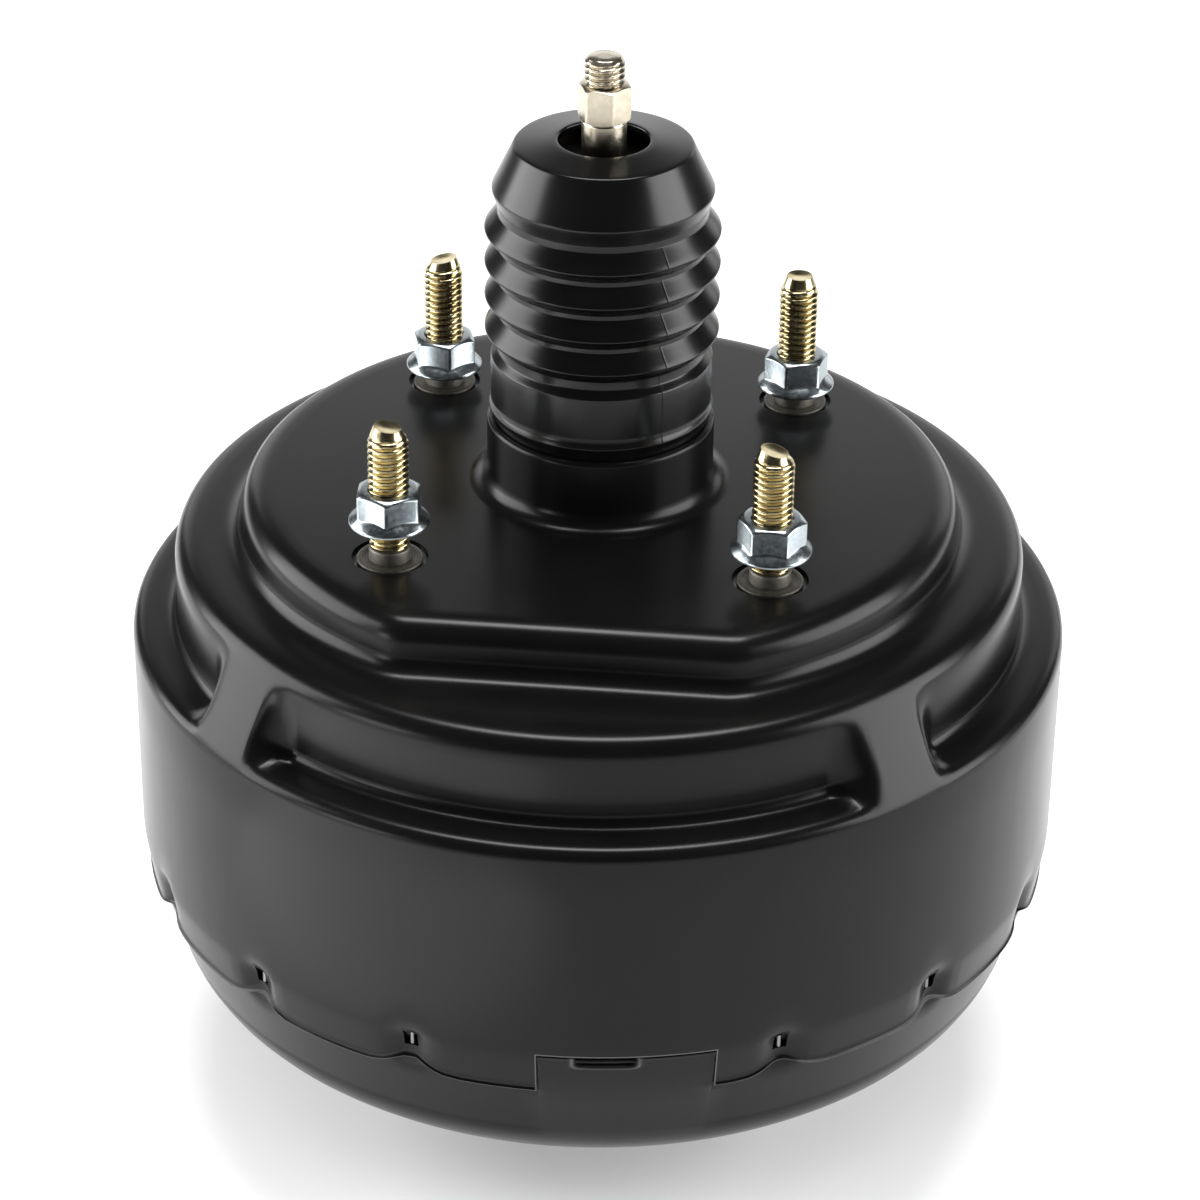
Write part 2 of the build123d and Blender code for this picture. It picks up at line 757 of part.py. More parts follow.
def plunger():
    """Valve plunger with a seat flange, a key groove and a socket for the rod's ball."""
    top = ball_height + 4
    low = top - plunger_flange_thickness
    end = hub_end + 4 + reaction_thickness + plunger_travel + 1
    groove_low = flange_low - soft_gap
    groove_high = flange_low + key_thickness + plunger_travel + soft_gap
    body = turned(
        (0, end), (plunger_radius - 0.8, end), (plunger_radius, end + 0.8), (plunger_radius, groove_low),
        (plunger_groove_radius, groove_low), (plunger_groove_radius, groove_high),
        (plunger_radius, groove_high),
        (plunger_radius, low), (plunger_flange_radius, low), (plunger_flange_radius, top), (0, top),
    )
    socket = Pos(0, 0, ball_height) * Sphere(ball_radius + slide_gap)
    return body - socket - disc(mouth_radius, ball_height + 1, top + 1)


def input_rod():
    """Pedal rod: ball end, shank, hexagon and threaded end."""
    hex_end = rod_hex_start + rod_hex_length
    end = hex_end + rod_thread_length
    shank = turned(
        (0, ball_height), (ball_radius - 1.6, ball_height), (ball_radius - 1.6, ball_height + 8),
        (rod_radius, ball_height + 11), (rod_radius, rod_hex_start + 1), (0, rod_hex_start + 1),
    )
    ball = Pos(0, 0, ball_height) * Sphere(ball_radius)
    hexagon = RegularPolygon(rod_hex_flats / 2, 6, major_radius=False)
    flats = Pos(0, 0, rod_hex_start) * extrude(hexagon, rod_hex_length)
    corner = rod_hex_flats / math.sqrt(3)
    dressed = turned(
        (0, rod_hex_start), (corner - 0.9, rod_hex_start), (corner, rod_hex_start + 0.9),
        (corner, hex_end - 0.9), (corner - 0.9, hex_end), (0, hex_end),
    )
    thread = turned(
        (0, hex_end - 1), (rod_thread_radius, hex_end - 1), (rod_thread_radius, end - 1),
        (rod_thread_radius - 1, end), (0, end),
    )
    return shank + ball + Rot(0, 0, 13) * (flats & dressed) + thread


def spring(wire, turns, low, high, low_radius, high_radius):
    """Round wire coil between two levels, straight or conical."""
    height = high - low - wire
    start = Pos(0, 0, low + wire / 2)
    cone = math.degrees(math.atan2(high_radius - low_radius, height))
    path = start * Helix(height / turns, height, low_radius, cone_angle=cone)
    section = Plane(path @ 0, z_dir=path % 0) * RegularPolygon(wire / 2, wire_sides)
    return sweep(section, path, is_frenet=True)


def return_spring():
    """Conical spring between the front plate and the front piston."""
    high = front_piston_level - piston_wall
    low = front_plate_top
    return spring(return_wire, return_turns, low + 0.2, high - 0.2, return_bottom_radius, return_top_radius)


def poppet_valve():
    """Rubber poppet with a seat lip and a rolled outer wall."""
    level = valve_seat
    outer = tail_bore - 2.5
    lip = plunger_flange_radius - 2.2
    return turned(
        (lip, level), (outer - 2.4, level), (outer - 2.4, level + 5), (outer, level + 8),
        (outer, poppet_top),
        (outer - 1.3, poppet_top), (outer - 1.3, level + 8.6), (outer - 3.6, level + 5.6),
        (outer - 3.6, level + 2), (lip, level + 2),
    )


def poppet_spring():
    """Light coil that closes the poppet."""
    radius = tail_bore - 2.5 - 4.4
    return spring(poppet_wire, poppet_turns, valve_seat + 2.1, poppet_top - 0.1, radius, radius)


def poppet_retainer():
    """Ring that holds the poppet's rim and seats both springs."""
    outer = tail_bore - 2.5
    return turned(
        (outer - 5.8, poppet_top), (outer, poppet_top), (outer, retainer_top), (outer - 5.8, retainer_top),
    )


def rod_spring():
    """Conical spring that returns the pedal rod."""
    low_radius = tail_bore - 4.5
    high_radius = rod_radius + 2.2
    return spring(rod_wire, rod_turns, rod_spring_low, rod_spring_high, low_radius, high_radius)


def spring_seat():
    """Collar on the pedal rod that carries its return spring."""
    level = rod_spring_high + 0.4
    return ring(rod_radius + 3.6, rod_radius, level, level + 2)


def air_filter():
    """Felt ring inside the tail."""
    high = tail_height - filter_depth - silencer_length - filter_gap
    return ring(tail_bore - fit_gap, boot_hole - 2 * filter_gap, high - filter_length, high)


def silencer():
    """Second felt ring at the end of the tail."""
    high = tail_height - filter_depth
    return ring(tail_bore - fit_gap, boot_hole - filter_gap, high - silencer_length, high)


def boot():
    """Bellows with a foot in the neck, a plain band, ridges and a conical crown."""
    ring_high = boot_ring_low + boot_ring_height
    foot = neck_bore - 0.2
    foot_low = neck_height - boot_foot
    outside = [
        (foot, foot_low), (foot, boot_ring_low), (neck_radius, boot_ring_low, -0.6),
        (neck_radius, ring_high, -0.6), (boot_band_radius, ring_high + 0.2),
        (boot_band_radius, ridge_start - 2.7),
    ]
    inside = []
    level = ridge_start
    for _ in range(boot_ridges):
        crest = level + boot_groove_width + boot_undercut
        outside += [
            (boot_groove, level), (boot_groove, level + boot_groove_width),
            (boot_radius, crest, -0.6),
        ]
        inside += [
            (boot_groove - boot_wall, level - 0.4),
            (boot_groove - boot_wall, level + boot_groove_width + 0.6),
            (boot_radius - 2 * boot_wall, crest + 0.4),
        ]
        level += boot_pitch
    outside += [
        (boot_groove, level), (boot_groove, level + boot_groove_width),
        (boot_lip_radius, boot_lip, -0.6), (boot_top_radius, boot_shoulder, -1.0),
        (boot_hole, boot_shoulder + boot_crown),
    ]
    inside += [
        (boot_groove - boot_wall, level - 0.4),
        (boot_groove - boot_wall, level + boot_groove_width + 0.6),
        (boot_lip_radius - 1.2 * boot_wall, boot_lip),
        (boot_top_radius - 0.7 * boot_wall, boot_shoulder - boot_wall),
        (boot_hole, boot_shoulder + boot_crown - boot_wall),
    ]
    base = [
        (boot_band_radius - boot_wall, ridge_start - 2.7), (boot_band_radius - boot_wall, ring_high),
        (foot - 2, boot_ring_low), (foot - 2, foot_low),
    ]
    return turned(*(outside + inside[::-1] + base))


parts = {
    "rear_shell": rear_shell,
    "front_shell": front_shell,
    "stud_plate": stud_plate,
    "stud_collars": stud_collars,
    "firewall_studs": firewall_studs,
    "flange_nuts": flange_nuts,
    "front_plate": front_plate,
    "master_cylinder_studs": master_cylinder_studs,
    "front_seal": front_seal,
    "check_valve_grommet": check_valve_grommet,
    "check_valve": check_valve,
    "centre_plate": centre_plate,
    "centre_seal": centre_seal,
    "neck_bearing": neck_bearing,
    "neck_seal": neck_seal,
    "rear_diaphragm": rear_diaphragm,
    "front_diaphragm": front_diaphragm,
    "rear_piston": rear_piston,
    "front_piston": front_piston,
    "piston_retainer": piston_retainer,
    "valve_body": valve_body,
    "reaction_disc": reaction_disc,
    "output_rod": output_rod,
    "output_rod_retainer": output_rod_retainer,
    "output_tip": output_tip,
    "plunger": plunger,
    "input_rod": input_rod,
    "return_spring": return_spring,
    "poppet_valve": poppet_valve,
    "poppet_spring": poppet_spring,
    "stop_key": stop_key,
    "poppet_retainer": poppet_retainer,
    "rod_spring": rod_spring,
    "spring_seat": spring_seat,
    "air_filter": air_filter,
    "silencer": silencer,
    "boot": boot,
}

os.makedirs("parts", exist_ok=True)
for name, make in parts.items():
    made = make()
    shape = Compound(children=list(made)) if isinstance(made, (list, tuple)) else made
    export_step(shape, f"parts/{name}.step")
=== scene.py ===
import bpy
import math
import numpy as np
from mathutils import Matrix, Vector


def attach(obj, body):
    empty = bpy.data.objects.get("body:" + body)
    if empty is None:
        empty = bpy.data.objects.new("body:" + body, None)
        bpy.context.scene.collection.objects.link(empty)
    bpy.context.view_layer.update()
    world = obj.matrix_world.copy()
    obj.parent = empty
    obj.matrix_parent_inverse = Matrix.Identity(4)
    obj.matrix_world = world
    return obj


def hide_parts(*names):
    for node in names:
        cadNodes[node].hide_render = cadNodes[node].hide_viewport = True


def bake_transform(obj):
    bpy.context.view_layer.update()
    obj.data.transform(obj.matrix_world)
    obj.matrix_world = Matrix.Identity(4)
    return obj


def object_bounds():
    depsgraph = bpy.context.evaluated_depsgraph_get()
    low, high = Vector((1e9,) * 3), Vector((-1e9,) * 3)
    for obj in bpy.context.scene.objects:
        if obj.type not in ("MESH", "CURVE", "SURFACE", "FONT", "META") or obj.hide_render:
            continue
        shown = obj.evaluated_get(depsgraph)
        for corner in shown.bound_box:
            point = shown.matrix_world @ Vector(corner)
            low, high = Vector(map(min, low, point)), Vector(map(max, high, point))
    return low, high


# Tandem brake booster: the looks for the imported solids. Sizes in the dictionaries are millimetres.

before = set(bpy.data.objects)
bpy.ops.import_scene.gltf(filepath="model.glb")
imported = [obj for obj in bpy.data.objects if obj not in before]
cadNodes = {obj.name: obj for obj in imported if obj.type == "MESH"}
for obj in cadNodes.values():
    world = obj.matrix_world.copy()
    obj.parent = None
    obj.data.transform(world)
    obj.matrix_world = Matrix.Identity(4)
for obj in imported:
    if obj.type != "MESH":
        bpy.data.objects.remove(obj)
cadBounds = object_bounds()
studio = bpy.context.scene
mm = 0.001
degree = math.radians(1)


def softProfile(corners, steps=5):
    # corners are (radius, height, bend); each bend is an arc that touches both of its straight runs
    line = []
    for i, corner in enumerate(corners):
        point = np.array(corner[:2], float)
        if len(corner) < 3 or i in (0, len(corners) - 1):
            line.append(point[None])
            continue
        before = np.array(corners[i - 1][:2]) - point
        after = np.array(corners[i + 1][:2]) - point
        before = before / np.linalg.norm(before)
        after = after / np.linalg.norm(after)
        half = math.acos(float(np.clip(before @ after, -1, 1))) / 2
        reach = corner[2] / math.tan(half)
        middle = point + (before + after) / np.linalg.norm(before + after) * corner[2] / math.sin(half)
        sweep = math.pi - 2 * half
        t = np.linspace(0, 1, steps)[:, None]
        start, end = point + before * reach - middle, point + after * reach - middle
        line.append(middle + (np.sin((1 - t) * sweep) * start + np.sin(t * sweep) * end) / math.sin(sweep))
    return np.vstack(line)


def divided(line, longest):
    # straight runs longer than this get points in between, evenly spaced by length
    reach = np.r_[0, np.cumsum(np.hypot(*np.diff(line, axis=0).T))]
    counts = np.maximum(1, np.ceil(np.diff(reach) / longest).astype(int))
    marks = np.r_[np.concatenate([np.linspace(a, b, n, endpoint=False)
                                  for a, b, n in zip(reach[:-1], reach[1:], counts)]), reach[-1]]
    return np.stack([np.interp(marks, reach, line[:, 0]), np.interp(marks, reach, line[:, 1])], -1)


def ringPoints(radius, height, turns):
    # point = (radius sin turn, -radius cos turn, height), with the turn counted from -Y towards +X
    turn = np.radians(turns)
    x, y = radius * np.sin(turn), -radius * np.cos(turn)
    return np.stack([x, y, np.broadcast_to(height, x.shape)], -1) * mm


def outward(points, quads, tris):
    # signed volume = sum of a . (b x c) / 6; faces that enclose a negative one are turned over
    a, b, c, d = (points[quads[:, i]] for i in range(4))
    volume = np.einsum("ij,ij->", a, np.cross(b, c)) + np.einsum("ij,ij->", a, np.cross(c, d))
    if len(tris):
        a, b, c = (points[tris[:, i]] for i in range(3))
        volume += np.einsum("ij,ij->", a, np.cross(b, c))
    return (points, quads, tris) if volume > 0 else (points, quads[:, ::-1], tris[:, ::-1])


def wrapped(grid, loop=False):
    # rows of points round an axis: neighbours are joined by quads, and a pole closes each end unless the rows loop
    rows, cols = grid.shape[:2]
    index = np.arange(rows * cols).reshape(rows, cols)
    here, below = (index, np.roll(index, -1, 0)) if loop else (index[:-1], index[1:])
    quads = np.stack([here, np.roll(here, -1, 1), np.roll(below, -1, 1), below], -1).reshape(-1, 4)
    points = grid.reshape(-1, 3)
    if loop:
        return outward(points, quads, np.zeros((0, 3), int))
    points = np.vstack([points, grid[[0, -1]].mean(axis=1)])
    poles = np.full(cols, rows * cols), np.full(cols, rows * cols + 1)
    tris = np.vstack([np.stack([np.roll(index[0], -1), index[0], poles[0]], -1),
                      np.stack([index[-1], np.roll(index[-1], -1), poles[1]], -1)])
    return outward(points, quads, tris)


def turnedPart(corners, step, loop=False, longest=1000, bends=4):
    # (row, turn): a section of (radius, height, bend) corners carried round the axis, a column at each step
    line = divided(softProfile(corners, bends), longest)
    return wrapped(ringPoints(line[:, :1], line[:, 1:], np.arange(0, 360, step)), loop)


def gridOf(rows, turns):
    # radius and height of each row, given as one number or as one for each turn, in two whole arrays
    return [np.array([row[i] + 0 * turns for row in rows]) for i in (0, 1)]


def gridNormals(grid):
    # normal = (step along the rows) x (step round the axis), made one long
    across = np.cross(np.gradient(grid, axis=0), np.roll(grid, -1, 1) - np.roll(grid, 1, 1))
    return across / np.maximum(np.linalg.norm(across, axis=-1, keepdims=True), 1e-12)


def sheetPart(outer, inner, keep, marks):
    # two grids a wall apart; the kept cells of both, joined by a strip wherever a kept cell has no neighbour
    rows, cols = outer.shape[:2]
    index = np.arange(rows * cols).reshape(rows, cols)
    right = np.roll(index, -1, 1)
    cells = np.stack([index[:-1], right[:-1], right[1:], index[1:]], -1)
    none = np.zeros((1, cols), bool)
    near = [np.vstack([none, keep[:-1]]), np.roll(keep, -1, 1), np.vstack([keep[1:], none]), np.roll(keep, 1, 1)]
    shift = rows * cols
    faces = [cells[keep], cells[keep][:, ::-1] + shift]
    for side in range(4):
        edge = keep & ~near[side]
        a, b = cells[..., side][edge], cells[..., (side + 1) % 4][edge]
        faces.append(np.stack([b, a, a + shift, b + shift], -1))
    quads = np.vstack(faces)
    used, quads = np.unique(quads, return_inverse=True)
    points = np.vstack([outer.reshape(-1, 3), inner.reshape(-1, 3)])[used]
    return (*outward(points, quads.reshape(-1, 4), np.zeros((0, 3), int)), np.tile(marks.ravel(), 2)[used])


def moved(part, x=0, y=0, z=0):
    return part[0] + np.array([x, y, z]) * mm, part[1], part[2]


def makePiece(name, parts, material, body, nodes=(), sharp=35, marks=None):
    # all parts in one mesh; marks are numbers kept at the points for the material to read
    points = np.vstack([p[0] for p in parts])
    starts = np.cumsum([0] + [len(p[0]) for p in parts[:-1]])
    quads = np.vstack([p[1] + s for p, s in zip(parts, starts)])
    tris = np.vstack([p[2] + s for p, s in zip(parts, starts)])
    mesh = bpy.data.meshes.new(name)
    mesh.vertices.add(len(points))
    mesh.vertices.foreach_set("co", points.astype(np.float32).ravel())
    loops = np.r_[quads.ravel(), tris.ravel()].astype(np.int32)
    mesh.loops.add(len(loops))
    mesh.loops.foreach_set("vertex_index", loops)
    counts = np.r_[np.full(len(quads), 4), np.full(len(tris), 3)]
    mesh.polygons.add(len(counts))
    mesh.polygons.foreach_set("loop_start", np.r_[0, np.cumsum(counts)[:-1]].astype(np.int32))
    mesh.update(calc_edges=True)
    mesh.polygons.foreach_set("use_smooth", np.ones(len(counts), bool))
    mesh.set_sharp_from_angle(angle=math.radians(sharp))
    if marks is not None:
        mesh.attributes.new("marks", "FLOAT", "POINT").data.foreach_set("value", marks.astype(np.float32))
    mesh.materials.append(material)
    piece = bpy.data.objects.new(name, mesh)
    studio.collection.objects.link(piece)
    if body:
        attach(piece, body)
    if nodes:
        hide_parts(*nodes)
    print("made", name, "with", 2 * len(quads) + len(tris), "triangles")
    return piece


def linear(code):
    # sRGB hex to linear light
    part = np.array([int(code[i:i + 2], 16) for i in (1, 3, 5)]) / 255
    return (*np.where(part <= 0.04045, part / 12.92, ((part + 0.055) / 1.055) ** 2.4).tolist(), 1.0)


def addNode(tree, kind, settings=None, links=None):
    # one node, its settings given by socket or property name and its links by socket name
    node = tree.nodes.new(kind)
    for key, value in (settings or {}).items():
        if isinstance(key, int) or key in node.inputs:
            node.inputs[key].default_value = value
        else:
            setattr(node, key, value)
    for key, source in (links or {}).items():
        tree.links.new(source, node.inputs[key])
    return node


def startMaterial(name, **settings):
    material = bpy.data.materials.new(name)
    material.use_nodes = True
    tree = material.node_tree
    tree.nodes.clear()
    shader = addNode(tree, "ShaderNodeBsdfPrincipled", settings)
    addNode(tree, "ShaderNodeOutputMaterial", links={"Surface": shader.outputs[0]})
    place = addNode(tree, "ShaderNodeTexCoord").outputs["Object"]
    return material, tree, shader, place


def makeFinish(name, dark, light, rough, patch, bumps, **settings):
    # colour and gloss drift between two values in patches this many millimetres across; bumps are (size, depth) in mm
    material, tree, shader, place = startMaterial(name, **settings)
    drift = addNode(tree, "ShaderNodeTexNoise", {"Scale": 1 / (patch * mm), "Detail": 3.0}, {"Vector": place})
    spread = addNode(tree, "ShaderNodeMapRange", {"From Min": 0.3, "From Max": 0.7}, {"Value": drift.outputs["Fac"]})
    colour = addNode(tree, "ShaderNodeMix", {"data_type": "RGBA", 6: linear(dark), 7: linear(light)},
                     {0: spread.outputs[0]})
    gloss = addNode(tree, "ShaderNodeMapRange", {"To Min": rough[0], "To Max": rough[1]}, {"Value": spread.outputs[0]})
    tree.links.new(colour.outputs[2], shader.inputs["Base Color"])
    tree.links.new(gloss.outputs[0], shader.inputs["Roughness"])
    links = {}
    for size, depth in bumps:
        grain = addNode(tree, "ShaderNodeTexNoise", {"Scale": 1 / (size * mm)}, {"Vector": place})
        bump = addNode(tree, "ShaderNodeBump", {"Strength": 1.0, "Distance": depth * mm},
                       {"Height": grain.outputs["Fac"], **links})
        links = {"Normal": bump.outputs[0]}
    tree.links.new(links["Normal"], shader.inputs["Normal"])
    return material


def makeElectroCoat():
    # Cathodic electro-coat on pressed steel, baked satin: dark, with soft wide reflections and a faint orange peel;
    # where the marks are set, its colour is mixed toward grey: a painted highlight for the fine light line that sheared
    # edges catch
    material = makeFinish("satinElectroCoat", "#080808", "#0a0a0a", (0.23, 0.27), 30,
                          [(2.2, 0.0015), (0.35, 0.001)], **{"Specular IOR Level": 0.15})
    tree = material.node_tree
    colour = tree.nodes["Principled BSDF"].inputs["Base Color"]
    # the marks mask the painted highlight line; the grey mixed in below is its colour
    paintedEdgeHighlight = addNode(tree, "ShaderNodeAttribute", {"attribute_name": "marks"}).outputs["Fac"]
    mixed = addNode(tree, "ShaderNodeMix", {"data_type": "RGBA", 7: linear("#4e4e4d")},
                    {0: paintedEdgeHighlight, 6: colour.links[0].from_socket})
    tree.links.new(mixed.outputs[2], colour)
    return material


satinElectroCoat = makeElectroCoat()
# Moulded EPDM, slightly waxy: soft sheen with fine mould grain
mouldedRubber = makeFinish("mouldedRubber", "#070707", "#0a0a0a", (0.21, 0.26), 14,
                           [(1.6, 0.002), (0.45, 0.003)], **{"Specular IOR Level": 0.23})
# Yellow chromate over zinc on rolled thread: gold with straw and rose drifts
yellowZinc = makeFinish("yellowZinc", "#988a64", "#c2b692", (0.15, 0.22), 3.0, [(0.5, 0.002)], Metallic=1.0)
# Pale yellow zinc on turned bar: cream with a faint rose tint and fine mottling
paleYellowZinc = makeFinish("paleYellowZinc", "#a29a8a", "#bab2a1", (0.2, 0.28), 2.2, [(0.4, 0.003)], Metallic=1.0)
# Clear zinc on cold-formed nuts: cool grey, with plating grain that breaks up the reflections
clearZinc = makeFinish("clearZinc", "#8a9296", "#9aa2a5", (0.2, 0.27), 1.0, [(0.35, 0.0011)], Metallic=1.0)
# Pressed sheet steel under thin oil: plain grey, softly streaked
oiledSheet = makeFinish("oiledSheet", "#6d6e70", "#85878a", (0.32, 0.45), 6, [(0.8, 0.003)], Metallic=1.0)
# Drawn spring wire: dark blue-grey with a smooth oily gloss
drawnWire = makeFinish("drawnWire", "#4a4c52", "#62656b", (0.28, 0.4), 1.5, [(0.3, 0.002)], Metallic=1.0)
# Compression-moulded phenolic: warm brown, mottled by its filler
mouldedPhenolic = makeFinish("mouldedPhenolic", "#0c0806", "#120c08", (0.5, 0.62), 1.2, [(0.5, 0.006)],
                              **{"Specular IOR Level": 0.25})
# Natural nylon, injection moulded: milky white, smooth
naturalNylon = makeFinish("naturalNylon", "#d3d1c6", "#e2dfd5", (0.35, 0.45), 4, [(0.6, 0.002)])
# Black glass-filled nylon, injection moulded: nearly black with a dry fine grain
blackNylon = makeFinish("blackNylon", "#121212", "#1b1b1b", (0.42, 0.55), 2, [(0.3, 0.004)])
# Moulded nitrile for seals: black, smooth and slightly greasy
sealRubber = makeFinish("sealRubber", "#0c0c0c", "#151515", (0.38, 0.5), 2, [(0.5, 0.003)])
# Needled filter felt: charcoal fibres
filterFelt = makeFinish("filterFelt", "#171716", "#262524", (0.85, 0.95), 0.6, [(0.25, 0.08)])


def makeDiaphragmRubber():
    # Fabric-backed diaphragm rubber: dark grey with the cloth's weave, drawn at 1.2 mm so that it shows
    threadGap = 1.2
    material, tree, shader, place = startMaterial("diaphragmRubber", Roughness=0.6)
    wave = {"Scale": 1 / (threadGap * mm) / math.tau * 2, "wave_profile": "SIN"}
    warp = addNode(tree, "ShaderNodeTexWave", {**wave, "bands_direction": "X"}, {"Vector": place}).outputs["Fac"]
    weft = addNode(tree, "ShaderNodeTexWave", {**wave, "bands_direction": "Y"}, {"Vector": place}).outputs["Fac"]
    cloth = addNode(tree, "ShaderNodeMath", {"operation": "MULTIPLY"}, {0: warp, 1: weft}).outputs[0]
    colour = addNode(tree, "ShaderNodeMix", {"data_type": "RGBA", 6: linear("#1d1d1f"), 7: linear("#2b2b2e")},
                     {0: cloth})
    bump = addNode(tree, "ShaderNodeBump", {"Strength": 1.0, "Distance": 0.05 * mm}, {"Height": cloth})
    tree.links.new(colour.outputs[2], shader.inputs["Base Color"])
    tree.links.new(bump.outputs[0], shader.inputs["Normal"])
    return material


def makeTurnedSteel():
    # Lathe-turned steel, bare: dark warm grey, with rings at the feed of the tool, drawn coarse enough to show
    feed = 0.6
    material, tree, shader, place = startMaterial("turnedSteel", Metallic=1.0)
    radius = addNode(tree, "ShaderNodeAttribute", {"attribute_name": "marks"}).outputs["Fac"]
    phase = addNode(tree, "ShaderNodeMath", {"operation": "MULTIPLY", 1: math.tau / feed}, {0: radius}).outputs[0]
    rings = addNode(tree, "ShaderNodeMath", {"operation": "SINE"}, {0: phase}).outputs[0]
    shade = addNode(tree, "ShaderNodeMath", {"operation": "MULTIPLY", 1: 0.25}, {0: rings}).outputs[0]
    cloud = addNode(tree, "ShaderNodeTexNoise", {"Scale": 1 / (1.1 * mm)}, {"Vector": place}).outputs["Fac"]
    cloudy = addNode(tree, "ShaderNodeMath", {"operation": "ADD"}, {0: shade, 1: cloud}).outputs[0]
    colour = addNode(tree, "ShaderNodeMix", {"data_type": "RGBA", 6: linear("#45433e"), 7: linear("#7a776f")},
                     {0: cloudy})
    gloss = addNode(tree, "ShaderNodeMapRange", {"To Min": 0.48, "To Max": 0.6}, {"Value": cloud})
    bump = addNode(tree, "ShaderNodeBump", {"Strength": 1.0, "Distance": 0.012 * mm}, {"Height": rings})
    tree.links.new(colour.outputs[2], shader.inputs["Base Color"])
    tree.links.new(gloss.outputs[0], shader.inputs["Roughness"])
    tree.links.new(bump.outputs[0], shader.inputs["Normal"])
    return material


diaphragmRubber = makeDiaphragmRubber()
turnedSteel = makeTurnedSteel()
finishBySlot = {
    "black_paint": satinElectroCoat, "boot_rubber": mouldedRubber, "yellow_zinc": yellowZinc,
    "pale_yellow_zinc": paleYellowZinc, "clear_zinc": clearZinc, "machined_steel": oiledSheet,
    "plain_steel": oiledSheet, "spring_steel": drawnWire, "brown_phenolic": mouldedPhenolic,
    "white_nylon": naturalNylon, "black_nylon": blackNylon, "black_rubber": sealRubber,
    "diaphragm_rubber": diaphragmRubber, "filter_felt": filterFelt,
}
for node in cadNodes.values():
    for place in node.material_slots:
        place.material = finishBySlot[place.material.name.split(".")[0]]
print("materials made and given to", len(cadNodes), "CAD nodes")


rearShell = {
    "wall": 1.5, "skirtRadius": 114.3, "skirtEndRadius": 112.6, "skirtEnd": -101.3, "curlStart": -90.3,
    "curlBend": 20, "skirtTop": -37.5, "rimLevel": -34.2, "rimBend": 3.3, "stepRadius": 103.3, "stepBend": 4.9,
    "innerBend": 3.0, "ledgeLevel": -12.5, "plateauRadius": 86.5, "plateauBend": 6.0,
    "wallFoot": 4.6, "wallLean": 0.6, "chordDistance": 77.0, "chordCorner": 14.0,
    "rowStep": 2.4, "lipRadius": 26, "lipBend": 1.2, "neckRadius": 27.3, "neckHeight": 17.3, "neckFoot": 31.9,
    "neckFootBend": 4.2,
    "rampAngles": (45, 135, 225, 315), "rampHalf": 7.6, "rampSide": 10.5, "rampArc": 108, "rampFade": 1.4,
    "rampTop": (102.72, -15.08), "rampFoot": (113.91, -35.94),
    "lanceAngles": 6 + 22.5 * np.arange(1, 16), "lanceHalf": 0.9, "slitTop": -91.0, "slitFoot": -95.3,
    "dentDepth": 2.5, "dentWidth": 4.6, "dentTop": -86.5, "dentRun": 6.5, "easeTop": -96, "easeRun": 4,
    "easeShare": 0.4, "scallop": 2.8, "scallopWidth": 6.2,
    "notchStart": -0.9, "notchEnd": 20.1, "notchBand": 0.14, "holeRadius": 9.0,
    # columns: turns from a ramp, the chord's middle, a lance and the notch's sides; rows: levels down the skirt, then
    # heights over its edge, with the bead's reach at each
    "rampColumns": (4.1, 4.8, 5.5, 6.2, 6.9, 7.6, 8.4, 9.2),
    "cornerColumns": np.arange(24.2, 31, 0.8),
    "lanceColumns": (0.9, 1.7, 2.5, 3.4, 4.6, 6.2), "notchColumns": (0, 0.13, 0.2),
    "skirtRows": (-50, -66, -80, -86, -88.4, -89.95, -90.02), "slitRows": (-92.4, -93.8, -94.6),
    "beadRows": (0.9, 0.74, 0.34, 0.12, 0), "beads": (0, 0.08, 0.5, 0.45, 0.05),
}
studPlaces = np.array([(-44.45, -46.05), (44.45, -46.05), (44.45, 46.05), (-44.45, 46.05)])


def awayFrom(turns, angle):
    # shortest turn from an angle, in degrees
    return (turns - angle + 180) % 360 - 180


def smooth(t):
    # 3 t^2 - 2 t^3 between 0 and 1
    t = np.clip(t, 0, 1)
    return t * t * (3 - 2 * t)


def plateauEdge(offset, turns):
    # distance from the axis to the D outline grown by an offset: flat chord, corner arcs, then the round part
    s = rearShell
    deep = s["chordDistance"] - s["chordCorner"]
    side = math.sqrt((s["plateauRadius"] - s["chordCorner"]) ** 2 - deep ** 2)
    angle = np.radians(np.abs(awayFrom(turns, 0)))
    flat = (s["chordDistance"] + offset) / np.maximum(np.cos(angle), 0.3)
    along = side * np.sin(angle) + deep * np.cos(angle)
    reach = (s["chordCorner"] + offset) ** 2 - side ** 2 - deep ** 2
    arc = along + np.sqrt(np.maximum(along ** 2 + reach, 0))
    onFlat = (angle < 1) & (flat * np.sin(angle) < side)
    return np.where(onFlat, flat, np.where(angle < math.atan2(side, deep), arc, s["plateauRadius"] + offset))


def dent(turns, height):
    # how far the metal is pressed in round each lance: a bell across, growing down to the slit and easing to the edge
    s = rearShell
    across = awayFrom(turns[:, None], s["lanceAngles"]) * degree * s["skirtRadius"]
    bell = np.exp(-(across / s["dentWidth"]) ** 2).sum(axis=1)
    depth = smooth((s["dentTop"] - height) / s["dentRun"])
    depth = depth * (1 - s["easeShare"] * smooth((s["easeTop"] - height) / s["easeRun"]))
    return s["dentDepth"] * bell * depth


def bothWays(turns):
    # the same turns to the left and to the right
    return np.r_[-np.array(turns), turns]


def shellTurns(extra):
    # angles of the columns: an even spread, closer together at the lances, ramps and other edges
    lances = (rearShell["lanceAngles"][:, None] + bothWays(rearShell["lanceColumns"])).ravel()
    return np.unique(np.round(np.concatenate([np.arange(0, 360, 2), lances, *extra]) % 360, 2))


